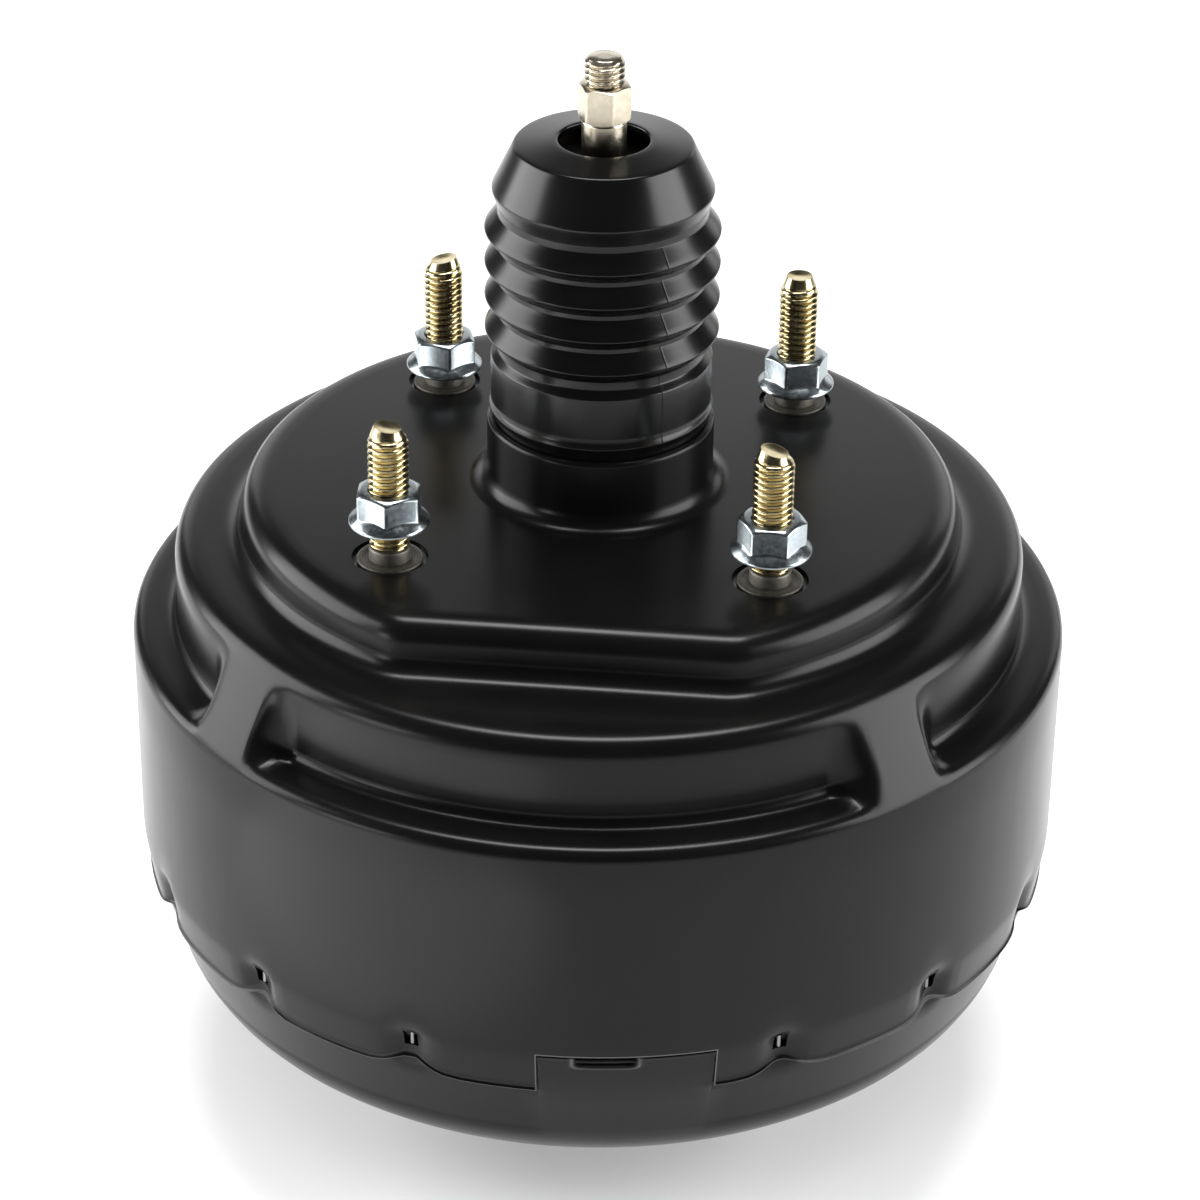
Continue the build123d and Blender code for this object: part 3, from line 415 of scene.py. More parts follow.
def rearShellParts():
    # surface of (row, turn), point = (radius sin turn, -radius cos turn, height): rows from the neck's lip out over
    # the plateau, down its D-shaped wall, over the ledge and the step, and down the skirt to its edge;
    # radius = profile, less the dents, more the bead; wall = point less its normal times the thickness
    s = rearShell
    sides = np.array(s["rampAngles"])[:, None] + bothWays(s["rampColumns"])
    turns = shellTurns([sides.ravel(), bothWays(s["cornerColumns"]), s["notchStart"] - np.array(s["notchColumns"]),
                        s["notchEnd"] + np.array(s["notchColumns"])])
    rows = [*softProfile([(s["lipRadius"], s["neckHeight"]), (s["neckRadius"], s["neckHeight"], s["lipBend"]),
                          (s["neckRadius"], 0, s["neckFootBend"]), (s["neckFoot"], 0)], 8)]
    brink = plateauEdge(-s["plateauBend"], turns)
    rows += [(s["neckFoot"] + (brink - s["neckFoot"]) * t, 0) for t in np.linspace(0, 1, 22)[1:-1]]
    edge = softProfile([(-12, 0), (-s["wallLean"] / 2, 0, s["plateauBend"]),
                        (s["wallLean"], s["ledgeLevel"], s["wallFoot"]), (12, s["ledgeLevel"])], 8)[1:-1]
    rows += [(plateauEdge(d, turns), z) for d, z in edge]
    foot, top = plateauEdge(s["innerBend"], turns), s["stepRadius"] - s["stepBend"]
    rows += [(foot + (top - foot) * t, s["ledgeLevel"]) for t in (0.35, 0.7)]
    step = softProfile([(94, s["ledgeLevel"]), (s["stepRadius"], s["ledgeLevel"], s["stepBend"]),
                        (s["stepRadius"], s["rimLevel"], s["innerBend"]),
                        (s["skirtRadius"], s["rimLevel"], s["rimBend"]), (s["skirtRadius"], -70)], 6)
    step = divided(step[1:-1], s["rowStep"])
    # ramp: the rows between its two touching points move onto the straight line between them
    upper, lower = np.array(s["rampTop"]), np.array(s["rampFoot"])
    reach = np.r_[0, np.cumsum(np.hypot(*np.diff(step, axis=0).T))]
    near = [reach[np.argmin(np.hypot(*(step - p).T))] for p in (upper, lower)]
    t = np.clip((reach - near[0]) / (near[1] - near[0]), 0, 1)[:, None]
    pull = np.where((t > 0) & (t < 1), upper + (lower - upper) * t - step, 0)
    across = np.abs(awayFrom(turns[:, None], np.array(s["rampAngles"])) * degree * s["rampArc"]).min(axis=1)
    onRamp = smooth((s["rampHalf"] + s["rampSide"] - across) / s["rampSide"]) ** s["rampFade"]
    rows += [(r + p * onRamp, z + q * onRamp) for (r, z), (p, q) in zip(step, pull)]
    # skirt: straight, then curled in; its edge rises at the lances
    skirt = softProfile([(s["skirtRadius"], s["skirtTop"]), (s["skirtRadius"], s["curlStart"], s["curlBend"]),
                         (s["skirtEndRadius"], s["skirtEnd"])], 6)[::-1]
    bell = np.exp(-(awayFrom(turns[:, None], s["lanceAngles"]) * degree * s["skirtRadius"]
                    / s["scallopWidth"]) ** 2).sum(axis=1)
    end = s["skirtEnd"] + s["scallop"] * bell
    levels = [*s["skirtRows"], s["curlStart"], s["slitTop"], *s["slitRows"], s["slitFoot"]]
    down = [np.full(len(turns), z) for z in levels]
    down += [s["slitFoot"] + (end + s["beadRows"][0] - s["slitFoot"]) * f for f in (0.35, 0.7)]
    bead = [0] * len(down) + list(s["beads"])
    down += [end + f for f in s["beadRows"]]
    rows += [(np.interp(z, skirt[:, 1], skirt[:, 0]) - dent(turns, z) + b, z) for z, b in zip(down, bead)]
    radius, height = gridOf(rows, turns)
    outer = ringPoints(radius, height, turns)
    inner = outer - gridNormals(outer) * s["wall"] * mm
    last = -len(s["beadRows"])
    inner[last:] = inner[last:last + 1] + (outer[last:] - outer[last:last + 1]) * np.array([0, 0, 1])
    # cells taken away: stud holes, slits and the notch
    middle = (outer[:-1] + np.roll(outer, -1, 1)[:-1] + outer[1:] + np.roll(outer, -1, 1)[1:]) / 4
    flat = np.linalg.norm(middle[:, :, None, :2] - studPlaces * mm, axis=-1).min(axis=-1) < s["holeRadius"] * mm
    keep = ~(flat & (np.abs(middle[..., 2]) < 0.2 * mm))
    turnMiddle = (turns + awayFrom(np.roll(turns, -1), turns) / 2)
    inSlit = np.abs(awayFrom(turnMiddle[:, None], s["lanceAngles"])).min(axis=1) < s["lanceHalf"]
    level = middle[..., 2] / mm
    keep &= ~(inSlit & (level < s["slitTop"]) & (level > s["slitFoot"]) & (height[:-1] < -90))
    span = s["notchEnd"] - s["notchStart"]
    inNotch = np.abs(awayFrom(turnMiddle, s["notchStart"] + span / 2)) < span / 2
    keep &= ~(inNotch & (height[:-1] < s["curlStart"] + 0.01))
    # marks: the skirt's edge and the three sides of the notch, where the coat gets its painted highlight line
    fromNotch = np.abs(awayFrom(turns, s["notchStart"] + span / 2))
    besideNotch = np.abs(fromNotch - span / 2) < s["notchBand"]
    overNotch = fromNotch < span / 2 + s["notchBand"]
    low = height < s["curlStart"] + 0.01
    marks = (low & besideNotch) | ((height < s["curlStart"] + 0.3) & (height > s["curlStart"] - 0.01) & overNotch)
    marks[-2:] = True
    # the points round each stud hole go onto its circle
    whole = np.pad(keep, ((1, 1), (0, 0)), constant_values=True)
    around = np.stack([whole[:-1], whole[1:], np.roll(whole, 1, 1)[:-1], np.roll(whole, 1, 1)[1:]])
    rim = around.any(axis=0) & ~around.all(axis=0) & (np.abs(height) < 0.2)
    for centre in studPlaces:
        gap = outer[..., :2] - centre * mm
        far = np.linalg.norm(gap, axis=-1)
        here = rim & (far < 2 * s["holeRadius"] * mm)
        for grid in (outer, inner):
            grid[here, :2] = centre * mm + gap[here] / far[here][:, None] * s["holeRadius"] * mm
    return [sheetPart(outer, inner, keep, marks.astype(float))]


rearSheet = rearShellParts()
makePiece("pressedRearShell", rearSheet, satinElectroCoat, "housing", ["rear_shell"], 30,
          rearSheet[0][3])


frontShell = {
    "flangeRadius": 112.7, "flangeEnd": -76.7, "mouth": 111.1, "face": -131.0, "footRadius": 102.58,
    "corner": 19, "bossRadius": 60, "bossFoot": 62.8, "bossFace": -137.0, "bossBend": 3, "pilot": 19.5,
    "flangeBend": 8, "mouthBend": 6, "rowStep": 7, "dentFade": -98, "dentFadeRun": 6,
    "padStart": -0.75, "padEnd": 19.95, "padTop": -90.6, "padSoft": -102.5, "padSoftWidth": 3, "padFoot": -119,
    "padArc": 114, "padLip": 0.35, "padTail": (105.8, -119.6), "padTailBend": 50,
    "slotMiddle": 7.15, "slotHalf": 7.4, "slotLevel": -91.9, "slotHigh": 1.5, "slotDeep": 1.4,
    "slotLip": 0.35, "sheetHigh": 1.15, "sheetLow": 0.15, "sheetHalf": 0.17,
    # columns at the pad's sides and the slot; rows above the pad, in the slot and below it, as start, end and step
    "padColumns": (-0.06, 0, 0.1, 0.22, 0.4), "slotColumns": (2.6, 11.8, 0.3), "rowsAbove": (-84, -90.5, -1.5),
    "slotRows": (-90.85, -94.4, -0.17), "rowsBelow": (-95, -118, -1.6),
}


def frontShellParts():
    # surface of (row, turn), points as on the rear shell: the flange inside the skirt, the bowl, the boss and the lip
    # of the pilot hole; radius = profile, less the dents, more the pad, and never past the skirt
    s, skirtWall = frontShell, rearShell
    edges = [s["padStart"] + t for t in s["padColumns"]] + [s["padEnd"] - t for t in s["padColumns"]]
    turns = shellTurns([edges, np.arange(*s["slotColumns"])])
    line = softProfile([(s["flangeRadius"], s["flangeEnd"]),
                        (s["flangeRadius"], skirtWall["curlStart"], s["flangeBend"]),
                        (s["mouth"], skirtWall["skirtEnd"], s["mouthBend"]), (s["footRadius"], s["face"], s["corner"]),
                        (s["bossFoot"], s["face"], s["bossBend"]), (s["bossRadius"], s["bossFace"], s["bossBend"]),
                        (s["pilot"], s["bossFace"])], 9)
    line = divided(line, s["rowStep"])
    extra = np.r_[np.arange(*s["rowsAbove"]), s["padTop"] + 0.05, s["padTop"], s["padTop"] - 0.1,
                  np.arange(*s["slotRows"]), np.arange(*s["rowsBelow"])]
    side = line[line[:, 1] > s["padFoot"]]
    levels = np.unique(np.round(np.r_[side[:, 1], extra], 3))[::-1]
    line = np.vstack([np.stack([np.interp(levels, side[::-1, 1], side[::-1, 0]), levels], -1), line[len(side):]])
    radius, height = (np.repeat(line[:, i:i + 1], len(turns), 1) for i in (0, 1))
    plain = ringPoints(radius, height, turns)
    inner = plain - gridNormals(plain) * skirtWall["wall"] * mm
    pressed = np.array([dent(turns, z) for z in line[:, 1]]) * (height > skirtWall["skirtEnd"] - 6)
    pressed *= 1 - smooth((s["dentFade"] - height) / s["dentFadeRun"])
    # pad that fills the notch, flush with the skirt, fading out below into the bowl
    skirt = softProfile([(skirtWall["skirtRadius"], skirtWall["skirtTop"]),
                         (skirtWall["skirtRadius"], skirtWall["curlStart"], skirtWall["curlBend"]),
                         (skirtWall["skirtEndRadius"], skirtWall["skirtEnd"], s["padTailBend"]), s["padTail"]], 9)[::-1]
    flush = np.interp(height, skirt[:, 1], skirt[:, 0]) - radius
    across = np.abs(awayFrom(turns, (s["padStart"] + s["padEnd"]) / 2)) - (s["padEnd"] - s["padStart"]) / 2
    sharpSide, softSide = across <= 0.001, 1 - smooth(across / s["padSoftWidth"] + 0.4)
    below = height < skirtWall["skirtEnd"] - 0.01
    flush = np.maximum(flush, 0) * (height > s["padFoot"])
    onPad = height <= s["padTop"] + 0.001
    pad = flush * np.where(below & (height < s["padSoft"]), softSide, sharpSide)
    pad = pad * onPad
    brink = np.minimum(-across * degree * s["padArc"], s["padTop"] - height)
    pad = pad + s["padLip"] * np.exp(-((brink - 0.3) / 0.2) ** 2) * sharpSide * onPad * ~below
    # slot in the pad's upper edge, with a thin raised rim and the edge of a sheet inside
    u = awayFrom(turns, s["slotMiddle"]) * degree * s["padArc"] / s["slotHalf"]
    v = (height - s["slotLevel"]) / s["slotHigh"]
    ring = (np.abs(u) ** 7 + np.abs(np.minimum(v, 0)) ** 3) ** (1 / 3)
    inside = 1 - smooth((ring - 0.86) / 0.12)
    lip = np.exp(-((ring - 1.13) / 0.14) ** 2) * (v < 0.9)
    sheet = np.exp(-((height - s["slotLevel"] + s["sheetLow"]) / s["sheetHalf"]) ** 2) * inside
    pad = pad - (height <= s["padTop"]) * (s["slotDeep"] * inside - s["slotLip"] * lip - s["sheetHigh"] * sheet)
    outer = ringPoints(np.minimum(radius - pressed + pad, skirtWall["skirtRadius"]), height, turns)
    inner[..., :2] *= (1 - pressed / radius)[..., None]
    keep = np.ones((len(line) - 1, len(turns)), bool)
    # marks: painted highlight on the slot's raised rim and on the edge of the sheet inside it
    marks = (0.9 * np.clip(lip, 0, 1) + 0.7 * sheet) * (height <= s["padTop"]) * sharpSide
    return [sheetPart(outer, inner, keep, np.clip(marks, 0, 1))]


frontSheet = frontShellParts()
makePiece("pressedFrontShell", frontSheet, satinElectroCoat, "housing", ["front_shell"], 30,
          frontSheet[0][3])


tongue = {"radius": 0.55, "tip": 0.05, "bend": 0.3, "place": 110.75, "top": -91.3, "foot": -95.1}


def tonguePart(angle):
    # upright peg with rounded ends, set at (place, angle) in the slit that the lance leaves open
    s = tongue
    peg = turnedPart([(s["tip"], s["foot"]), (s["radius"], s["foot"], s["bend"]),
                      (s["radius"], s["top"], s["bend"]), (s["tip"], s["top"])], 24)
    return moved(peg, s["place"] * math.sin(angle), -s["place"] * math.cos(angle))


makePiece("lanceTongues", [tonguePart(math.radians(a)) for a in rearShell["lanceAngles"]], oiledSheet, "housing")


boot = {
    "foot": 25.6, "footLevel": 12.3, "ringLow": 17.5, "ring": 26.9, "ringHigh": 20.6, "band": 26.4, "bandTop": 33.6,
    "groove": 24.8, "crest": 28.1, "firstRidge": 36.5, "pitch": 8.5, "ridges": 4, "lip": 26.2, "lipLevel": 76.2,
    "shoulder": 87.0, "top": 21.0, "hole": 10.7, "crown": 88.2, "wall": 1.7, "partingTurn": 39.0, "parting": 0.08,
    "partingLow": 17.4, "partingHigh": 70, "partingColumns": (0.3, 0.55, 0.9),
}


def bootParts():
    # profile carried round the axis: foot, ring, plain band, saw-tooth ridges and the conical crown
    s = boot
    corners = [(s["foot"], s["footLevel"]), (s["foot"], s["ringLow"]), (s["ring"] - 1.0, s["ringLow"]),
               (s["ring"], s["ringHigh"], 0.8), (s["ring"] - 0.35, s["ringHigh"] + 1.1),
               (s["band"], s["ringHigh"] + 1.35), (s["band"], s["bandTop"], 0.8),
               (s["groove"], s["bandTop"] + 1.6, 0.8)]
    inside = []
    for level in s["firstRidge"] + s["pitch"] * np.arange(s["ridges"]):
        corners += [(s["groove"], level + 1.0, 0.4), (s["crest"], level + 4.0, 0.65),
                    (s["groove"], level + 8.3, 0.35)]
        inside += [(s["groove"] - s["wall"], level), (s["groove"] - s["wall"], level + 2.4),
                   (s["crest"] - 3.2, level + 4.6)]
    level += s["pitch"]
    corners += [(s["groove"], level + 1.4, 0.5), (s["lip"], s["lipLevel"], 0.9),
                (s["top"], s["shoulder"], 0.9), (s["hole"], s["crown"], 0.5), (s["hole"], s["crown"] - 1.6)]
    inside += [(s["groove"] - s["wall"], level), (s["groove"] - s["wall"], level + 2.4),
               (s["lip"] - 2.2, s["lipLevel"] + 0.3), (s["top"] - 1.4, s["shoulder"] - 1.8)]
    inside = inside[::-1] + [(s["band"] - s["wall"], 33), (s["band"] - s["wall"], 22),
                             (s["foot"] - s["wall"], 17), (s["foot"] - s["wall"], s["footLevel"])]
    line = divided(softProfile(corners, 6), 1.5)
    outerRows = len(line)
    line = np.vstack([line, np.array(inside)])
    turns = np.unique(np.round(np.r_[np.arange(0, 360, 2.5), s["partingTurn"],
                                     s["partingTurn"] + bothWays(s["partingColumns"])], 2))
    radius = np.repeat(line[:, :1], len(turns), 1)
    fin = np.maximum(0, 1 - np.abs(awayFrom(turns, s["partingTurn"])) / 0.5)
    onFin = (np.arange(len(line)) < outerRows) & (line[:, 1] > s["partingLow"]) & (line[:, 1] < s["partingHigh"])
    radius = radius + s["parting"] * fin * onFin[:, None]
    return [wrapped(ringPoints(radius, line[:, 1:], turns), loop=True)]


bootPiece = makePiece("ribbedBoot", bootParts(), mouldedRubber, None, ["boot"], 50)
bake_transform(bootPiece)


def threadRadius(height, turns, crest, pitch, depth):
    # vee thread: the groove's depth follows how far (height / pitch - turn / 360) is from a crest, with flats
    phase = (height / pitch - turns / 360) % 1
    groove = np.clip((np.abs(2 * phase - 1) - 0.16) / 0.66, 0, 1)
    return crest - depth * groove


firewallStud = {
    "radius": 4.7625, "pitch": 1.5875, "depth": 0.92, "start": 2.9, "top": 34.4, "cone": 4.2, "tip": 3.2,
    "footRadius": 4.9, "footTop": 3.1, "press": 5.2, "pressEnd": -6.7, "endTilts": (9, 15, 0, -12),
}


def hexagonRadius(turns, flats, sharpness):
    # flats / 2 over the largest cosine to a flat's middle, softened at the corners
    faces = np.cos(np.radians(turns[:, None] - 60 * np.arange(6)))
    return flats / 2 * (np.maximum(faces, 0) ** sharpness).sum(axis=1) ** (-1 / sharpness)


def studPart(tilt):
    # thread on a cylinder, cut by the drawn-down cone, with a slightly dished end face that was sheared off square or
    # leaning: height less (tip + x) tan tilt, eased in over the cone
    s = firewallStud
    turns = np.arange(0, 360, 9.0)
    height = np.arange(s["start"], s["top"] - 0.05, s["pitch"] / 12)[:, None]
    thread = threadRadius(height, turns, s["radius"], s["pitch"], s["depth"])
    cone = s["tip"] + (s["radius"] - s["tip"]) * (s["top"] - height) / s["cone"]
    radius = np.where(height > s["top"] - s["cone"], np.minimum(thread, cone), thread)
    side = ringPoints(radius, height, turns)
    face = ringPoints(np.array([[s["tip"]], [s["tip"] - 0.35], [1.6]]) + 0 * turns,
                      np.array([[s["top"]], [s["top"]], [s["top"] - 0.25]]), turns)
    grid = np.vstack([side, face])
    eased = smooth((grid[..., 2] / mm - s["top"] + s["cone"]) / s["cone"])
    lean = math.tan(math.radians(tilt))
    grid[..., 2] -= eased * (abs(lean) * s["tip"] * mm + lean * grid[..., 0])
    return wrapped(grid)


def footPart():
    # profile turned about the stud's own axis: press shank in the collar, then the plain foot with a rounded edge
    s = firewallStud
    return turnedPart([(0.5, s["pressEnd"]), (s["press"], s["pressEnd"]), (s["press"], 0), (s["footRadius"], 0),
                       (s["footRadius"], s["footTop"], 0.5), (0.5, s["footTop"])], 9)


nut = {"flats": 14.2875, "flange": 9.525, "rim": 0.9, "cone": 0.62, "height": 8.7, "crown": 6.5, "bore": 4.3,
       "lifts": (9.25, 7.6, 4.4, 4.2), "turns": (34, -1, 16.5, 46.5), "sharpness": 70}


def nutPart(turn):
    # (row, turn): conical flange up to where it meets the flats, the flats, and the crown's cone down to the corners
    s = nut
    turns = np.arange(0, 360, 3.0)
    hexagon = hexagonRadius(turns - 120 - turn, s["flats"], s["sharpness"])
    meet = s["rim"] + 0.3 + s["cone"] * (s["flange"] - hexagon)
    shoulder = s["height"] - 0.55 * (hexagon - s["crown"])
    edge, low = s["flange"] - 0.25, s["rim"] + 0.1
    rows = [(s["bore"], 0.6), (s["bore"] + 0.7, 0), (edge, 0), (s["flange"], 0.25), (s["flange"], s["rim"] - 0.2),
            (edge, low)]
    rows += [(edge + (hexagon + 0.25 - edge) * t, low + (meet - low) * t) for t in (0.35, 0.7)]
    rows += [(hexagon + 0.12, meet - 0.02), (hexagon, meet + 0.16), (hexagon, shoulder - 0.15),
             (hexagon - 0.1, shoulder + 0.03), (s["crown"] + 0.12, s["height"] - 0.04),
             (s["crown"] - 0.15, s["height"]), (s["bore"] + 0.75, s["height"]), (s["bore"], s["height"] - 0.7)]
    return wrapped(ringPoints(*gridOf(rows, turns), turns), loop=True)


collar = {"radius": 7.8, "bore": 5.2, "head": 10.0, "foot": -4.7, "headLow": -6.7}


def collarPart():
    # profile turned about the stud's own axis, closed on itself: bore, clinched head, body and a chamfered face
    s = collar
    return turnedPart([(s["bore"], s["headLow"]), (s["head"], s["headLow"], 0.5), (s["head"], s["foot"]),
                       (s["radius"], s["foot"]), (s["radius"], 0, 0.35), (s["bore"] + 1.2, 0),
                       (s["bore"] + 1.0, -0.12), (s["bore"], -0.12)], 6, loop=True)


def fromStud(parts, places):
    # distance of each point from its own stud's axis, in millimetres
    return np.concatenate([np.linalg.norm(p[0][:, :2] / mm - c, axis=1) for p, c in zip(parts, places)])


studs = [moved(studPart(tilt), x, y) for (x, y), tilt in zip(studPlaces, firewallStud["endTilts"])]
makePiece("rolledStuds", studs, yellowZinc, "housing", ["firewall_studs"], 54)
feet = [moved(footPart(), x, y) for x, y in studPlaces]
makePiece("studFeet", feet, turnedSteel, "housing", marks=fromStud(feet, studPlaces))
collars = [moved(collarPart(), x, y) for x, y in studPlaces]
makePiece("turnedCollars", collars, turnedSteel, "housing", ["stud_collars"],
          marks=fromStud(collars, studPlaces))
nuts = [moved(nutPart(turn), x, y, lift) for (x, y), lift, turn in zip(studPlaces, nut["lifts"], nut["turns"])]
makePiece("flangedNuts", nuts, clearZinc, "housing", ["flange_nuts"], 40)


pedalRod = {
    "ball": 5.0, "ballLevel": -20.0, "neck": 3.4, "shank": 5.25, "flats": 11.1125, "turn": -7, "hexStart": 93.2,
    "hexEnd": 101.9, "sharpness": 60, "root": 4.3, "thread": 4.7625, "pitch": 1.45, "depth": 0.8, "chamfer": 1,
    "end": 108.6,
}


def pedalRodPart():
    # (row, turn): ball and shank are round, then the hexagon, then a vee thread that runs out of its root and ends in
    # a chamfer
    s = pedalRod
    turns = np.arange(0, 360, 4.0)
    swing = np.radians(np.linspace(-88, 47, 12))
    ball = np.stack([s["ball"] * np.cos(swing), s["ballLevel"] + s["ball"] * np.sin(swing)], -1)
    shank = softProfile([(s["neck"], s["ballLevel"] + 4.2), (s["neck"], -12, 2), (s["shank"], -9, 2),
                         (s["shank"], s["hexStart"] - 0.5, 0.4), (s["shank"] - 0.3, s["hexStart"])], 4)
    hexagon = hexagonRadius(turns - 120 - s["turn"], s["flats"], s["sharpness"])
    face = s["flats"] / 2 - 0.15
    slope = 0.6 * (hexagon - face)
    rows = [*ball, *shank, (face, s["hexStart"]), (hexagon, s["hexStart"] + slope),
            (hexagon, s["hexStart"] + slope + 0.3), (hexagon, s["hexEnd"] - slope - 0.3),
            (hexagon, s["hexEnd"] - slope), (face, s["hexEnd"]), (s["root"], s["hexEnd"] + 0.05)]
    level = np.arange(s["hexEnd"] + 0.3, s["end"] - 0.1, s["pitch"] / 12)[:, None]
    runOut = s["root"] + (s["thread"] - s["root"]) * np.clip((level - s["hexEnd"] - 0.3) / 1.2, 0, 1) + 0.3
    chamfer = s["thread"] - np.clip(level - (s["end"] - s["chamfer"]), 0, s["chamfer"])
    thread = threadRadius(level, turns, s["thread"], s["pitch"], s["depth"])
    rows += zip(np.minimum(thread, np.minimum(runOut, chamfer)), level[:, 0])
    rows += [(3.7, s["end"]), (1.5, s["end"])]
    return wrapped(ringPoints(*gridOf(rows, turns), turns))


makePiece("plungerRod", [pedalRodPart()], paleYellowZinc, "input_rod", ["input_rod"], 45)


masterStud = {
    "spacing": 85.725, "radius": 4.7625, "pitch": 1.5875, "depth": 0.92, "face": -137.0, "end": -165.0, "tip": 3.3,
    "tipRun": 2, "shank": 4.9, "shankLong": 3, "press": 5.2, "plate": -132.5, "head": 7.5, "headHigh": 2.5,
}


def masterStudPart():
    # round throughout: vee thread cut by the end's cone, plain shank, press shank and the head behind the plate
    s = masterStud
    turns = np.arange(0, 360, 9.0)
    shankEnd = s["face"] - s["shankLong"]
    down = np.arange(s["end"] + 0.1, shankEnd, s["pitch"] / 10)[:, None]
    cone = s["tip"] + (s["radius"] - s["tip"]) * np.clip((down - s["end"]) / s["tipRun"], 0, 1)
    thread = np.minimum(threadRadius(down, turns, s["radius"], s["pitch"], s["depth"]), cone)
    side = ringPoints(thread, down, turns)
    headTop = s["plate"] + s["headHigh"]
    upper = softProfile([(s["shank"], shankEnd), (s["shank"], s["face"]), (s["press"], s["face"]),
                         (s["press"], s["plate"]), (s["head"], s["plate"]), (s["head"], headTop, 0.8),
                         (1, headTop)], 4)
    tip = ringPoints(np.array([[1.5], [s["tip"] - 0.1]]) + 0 * turns, s["end"], turns)
    return wrapped(np.vstack([tip, side, ringPoints(upper[:, :1] + 0 * turns, upper[:, 1:], turns)]))


half = masterStud["spacing"] / 2
makePiece("masterStuds", [moved(masterStudPart(), -half), moved(masterStudPart(), half)], yellowZinc, "housing",
          ["master_cylinder_studs"], 60)


coilSteps = 40
returnSpring = {"wire": 3.8, "turns": 4.5, "low": -130.4, "high": -79.8, "lowRadius": 52.86, "highRadius": 36.0}
rodSpring = {"wire": 1.4, "turns": 5.0, "low": -2.4, "high": 18.2, "lowRadius": 12.3, "highRadius": 7.45}


def coilPart(s):
    # (step along the wire, turn round it): for a share t of the way, the middle is at radius r and height z, both
    # linear in t, and at angle a = 360 turns t; point = (R cos a, R sin a, z + wire / 2 sin b), R = r + wire / 2 cos b
    share = np.linspace(0, 1, int(s["turns"] * coilSteps))[:, None]
    around = np.radians(np.arange(0, 360, 24.0))
    angle = 2 * math.pi * s["turns"] * share
    radius = s["lowRadius"] + (s["highRadius"] - s["lowRadius"]) * share
    height = s["low"] + (s["high"] - s["low"]) * share
    radius = radius + s["wire"] / 2 * np.cos(around)
    height = height + s["wire"] / 2 * np.sin(around)
    return wrapped(np.stack([radius * np.cos(angle), radius * np.sin(angle), height], -1) * mm)


returnCoil = makePiece("returnSpringCoil", [coilPart(returnSpring)], drawnWire, None, ["return_spring"],
                       80)
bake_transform(returnCoil)
rodCoil = makePiece("rodSpringCoil", [coilPart(rodSpring)], drawnWire, None, ["rod_spring"],
                    80)
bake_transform(rodCoil)


# shared by both diaphragms: the piston's wall of rubber, the fold's outer wall and the clamped bead
diaphragm = {
    "wallIn": 97.3, "wallOut": 98.9, "foldIn": 103.6, "foldOut": 105.2, "foldBend": 2.0, "innerBend": 0.6,
    "beadIn": 106.7, "beadOut": 112.7,
}
rearDiaphragm = {
    "bore": 19.8, "lip": 24.5, "lipFoot": 25.5, "under": -16.6, "top": -15.0, "lipTop": -13.0, "topBend": 1.5,
    "foldLow": -50.8, "foldHigh": -48.8, "beadLow": -41.2, "beadTop": -35.7, "beadBend": 1.9,
}
frontDiaphragm = {
    "bore": 22.3, "lip": 26.0, "lipFoot": 27.0, "webOut": 97.2, "under": -76.2, "top": -74.6, "lipTop": -73.1,
    "topBend": 0.8, "wallTop": -75.4, "foldLow": -91.2, "foldHigh": -89.2, "beadLow": -76.7, "beadTop": -71.2,
}
ringSteps = {"step": 4, "loop": True, "longest": 4, "bends": 5}


def rearDiaphragmPart():
    # (row, turn): web on the piston, down its wall, under the fold, up to the bead and back
    d, s = diaphragm, rearDiaphragm
    foldIn, foldOut = d["foldIn"] - 0.1, d["foldOut"] - 0.1
    return turnedPart([
        (s["bore"], s["under"]), (d["wallIn"], s["under"]), (d["wallIn"], s["foldLow"] + 0.6),
        (d["wallOut"], s["foldLow"]), (foldOut, s["foldLow"], d["foldBend"]), (foldOut, s["beadLow"] + 2),
        (d["beadIn"], s["beadLow"]), (d["beadOut"], s["beadLow"]), (d["beadOut"], s["beadTop"], s["beadBend"]),
        (d["beadIn"], s["beadTop"]), (foldIn, s["beadLow"] + 3), (foldIn, s["foldHigh"], d["innerBend"]),
        (d["wallOut"], s["foldHigh"], d["innerBend"]), (d["wallOut"], s["top"], s["topBend"]),
        (s["lipFoot"], s["top"]), (s["lip"], s["lipTop"]), (s["bore"], s["lipTop"])], **ringSteps)


def frontFoldPart():
    # (row, turn): the piston's wall, under the fold, up to the bead and back
    d, s = diaphragm, frontDiaphragm
    return turnedPart([
        (d["wallIn"], s["wallTop"]), (d["wallIn"], s["foldLow"] + 1), (d["wallOut"], s["foldLow"]),
        (d["foldOut"], s["foldLow"], d["foldBend"]), (d["foldOut"], s["beadLow"]), (d["beadOut"], s["beadLow"]),
        (d["beadOut"], s["beadTop"]), (d["beadIn"], s["beadTop"]), (d["foldIn"], s["beadLow"] + 1),
        (d["foldIn"], s["foldHigh"], d["innerBend"]), (d["wallOut"], s["foldHigh"], d["innerBend"]),
        (d["wallOut"], s["wallTop"], s["topBend"])], **ringSteps)


def frontWebPart():
    # (row, turn): flat web with a lip round its bore
    s = frontDiaphragm
    return turnedPart([
        (s["bore"], s["under"]), (s["webOut"], s["under"]), (s["webOut"], s["top"], s["topBend"]),
        (s["lipFoot"], s["top"]), (s["lip"], s["lipTop"]), (s["bore"], s["lipTop"])], **ringSteps)


rearRing = makePiece("rollingRearDiaphragm", [rearDiaphragmPart()], diaphragmRubber, None, ["rear_diaphragm"])
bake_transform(rearRing)
makePiece("frontDiaphragmFold", [frontFoldPart()], diaphragmRubber, "housing", ["front_diaphragm"])
makePiece("frontDiaphragmWeb", [frontWebPart()], diaphragmRubber, "power_piston")


floorSizes = {"width": 9000, "level": cadBounds[0][2] / mm - 0.2}
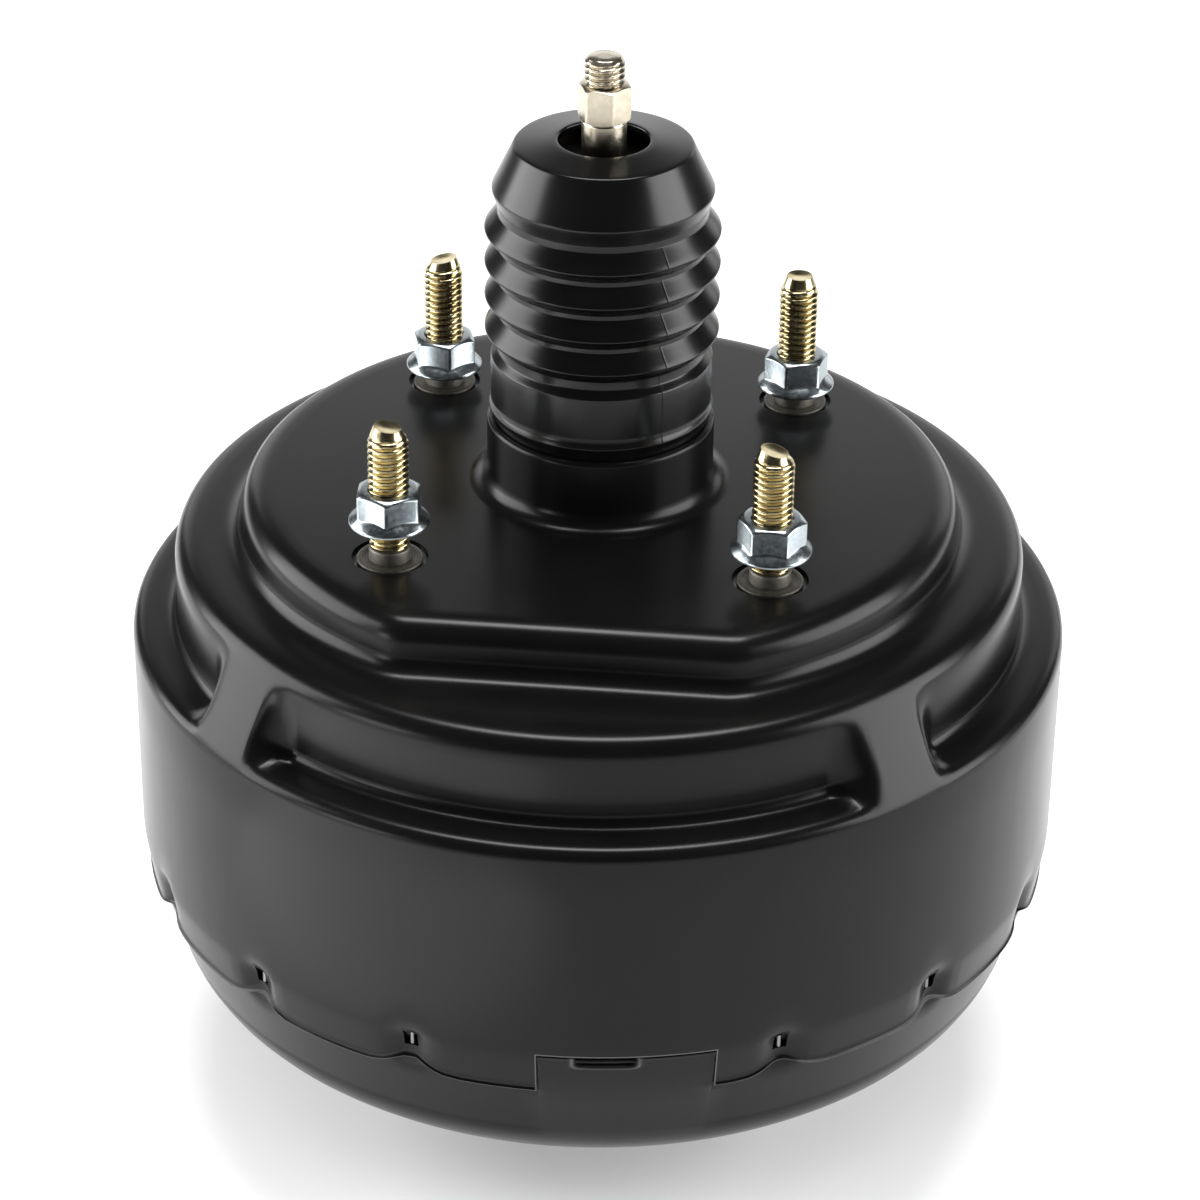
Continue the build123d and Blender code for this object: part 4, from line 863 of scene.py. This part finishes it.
# Matt painted board: even off-white that throws light back under the shell
paleFloor = makeFinish("paleFloor", "#f2f2f2", "#f4f4f4", (0.7, 0.8), 60, [(1.5, 0.01)], **{"Specular IOR Level": 0.2})
floorMesh = bpy.data.meshes.new("floor")
w, level = floorSizes["width"] / 2 * mm, floorSizes["level"] * mm
floorMesh.from_pydata([(-w, -w, level), (w, -w, level), (w, w, level), (-w, w, level)], [], [(0, 1, 2, 3)])
floorMesh.materials.append(paleFloor)
floorPiece = bpy.data.objects.new("floor", floorMesh)
studio.collection.objects.link(floorPiece)

softboxes = {
    "top": {"at": (0, 0.2, 1.75), "aim": (0, 0.03, 0), "size": (1.15, 0.45), "radiance": 23.5, "along": (0, 1, 0)},
    "left": {"at": (-1.3, 0, 0.4), "size": (1.1, 0.9), "radiance": 9.6},
    "right": {"at": (1.3, -0.12, 0.4), "size": (1.0, 0.9), "radiance": 9.6},
    "frontLeft": {"at": (-1.1, -0.95, 0.06), "size": (0.5, 0.35), "radiance": 7.5},
    "frontFill": {"at": (0.1, -1.1, 1.5), "aim": (0, 0, -0.1), "size": (1.5, 0.8), "radiance": 3.4, "mirrored": False},
    "backCard": {"at": (0, 1.6, 0.42), "aim": (0, 0, 0.42), "size": (2.6, 0.86), "radiance": 1.7},
    "lowCard": {"at": (-0.165, -0.228, -0.158), "aim": (-0.165, -0.228, 0), "size": (0.16, 0.3), "radiance": 1.7,
                "along": (0.77, -0.63, 0)},
    "farCard": {"at": (-0.36, -0.27, -0.157), "aim": (-0.36, -0.27, 0), "size": (0.2, 0.34), "radiance": 1.9,
                "along": (0.6, -0.8, 0)},
}


def turnedTo(forward, up=(0, 0, 1)):
    # columns are right, up and back, so that the local -Z axis looks forward
    forward = np.array(forward) / np.linalg.norm(forward)
    right = np.cross(forward, up)
    right = right / np.linalg.norm(right)
    return np.column_stack([right, np.cross(right, forward), -forward])


def placedMatrix(axes, at):
    # axes and place, as columns
    matrix = np.eye(4)
    matrix[:3, :3], matrix[:3, 3] = axes, at
    return matrix.T.tolist()


for name, box in softboxes.items():
    light = bpy.data.lights.new(name + "Softbox", "AREA")
    light.shape = "RECTANGLE"
    light.size, light.size_y = box["size"]
    light.energy = box["radiance"] * math.pi * box["size"][0] * box["size"][1]
    lamp = bpy.data.objects.new(name + "Softbox", light)
    lamp.visible_camera, lamp.visible_glossy = False, box.get("mirrored", True)
    axes = turnedTo(np.array(box.get("aim", (0, 0, 0))) - box["at"], box.get("along", (0, 0, 1)))
    lamp.matrix_world = placedMatrix(axes, box["at"])
    studio.collection.objects.link(lamp)

world = bpy.data.worlds.new("studio")
studio.world = world
world.use_nodes = True
world.node_tree.nodes["Background"].inputs["Color"].default_value = linear("#444445")
studio.view_settings.view_transform = "Standard"

viewpoint = {"distance": 0.9579, "azimuth": 5.69, "elevation": 28.124, "roll": 0.689, "tilt": -1.818, "lens": 118.458}
side, rise = math.radians(viewpoint["azimuth"]), math.radians(viewpoint["elevation"])
back = np.array([math.sin(side) * math.cos(rise), -math.cos(side) * math.cos(rise), math.sin(rise)])
axes = turnedTo(-back)
roll, tilt = math.radians(viewpoint["roll"]), math.radians(viewpoint["tilt"])
right = axes[:, 0] * math.cos(roll) + axes[:, 1] * math.sin(roll)
up = axes[:, 1] * math.cos(roll) - axes[:, 0] * math.sin(roll)
forward = -back * math.cos(tilt) + up * math.sin(tilt)
camera = bpy.data.cameras.new("camera")
camera.lens, camera.sensor_width, camera.clip_start = viewpoint["lens"], 36, 0.01
eye = bpy.data.objects.new("camera", camera)
axes = np.column_stack([right, np.cross(-forward, right), -forward])
eye.matrix_world = placedMatrix(axes, back * viewpoint["distance"])
studio.collection.objects.link(eye)
studio.camera = eye
print("camera and lights set")
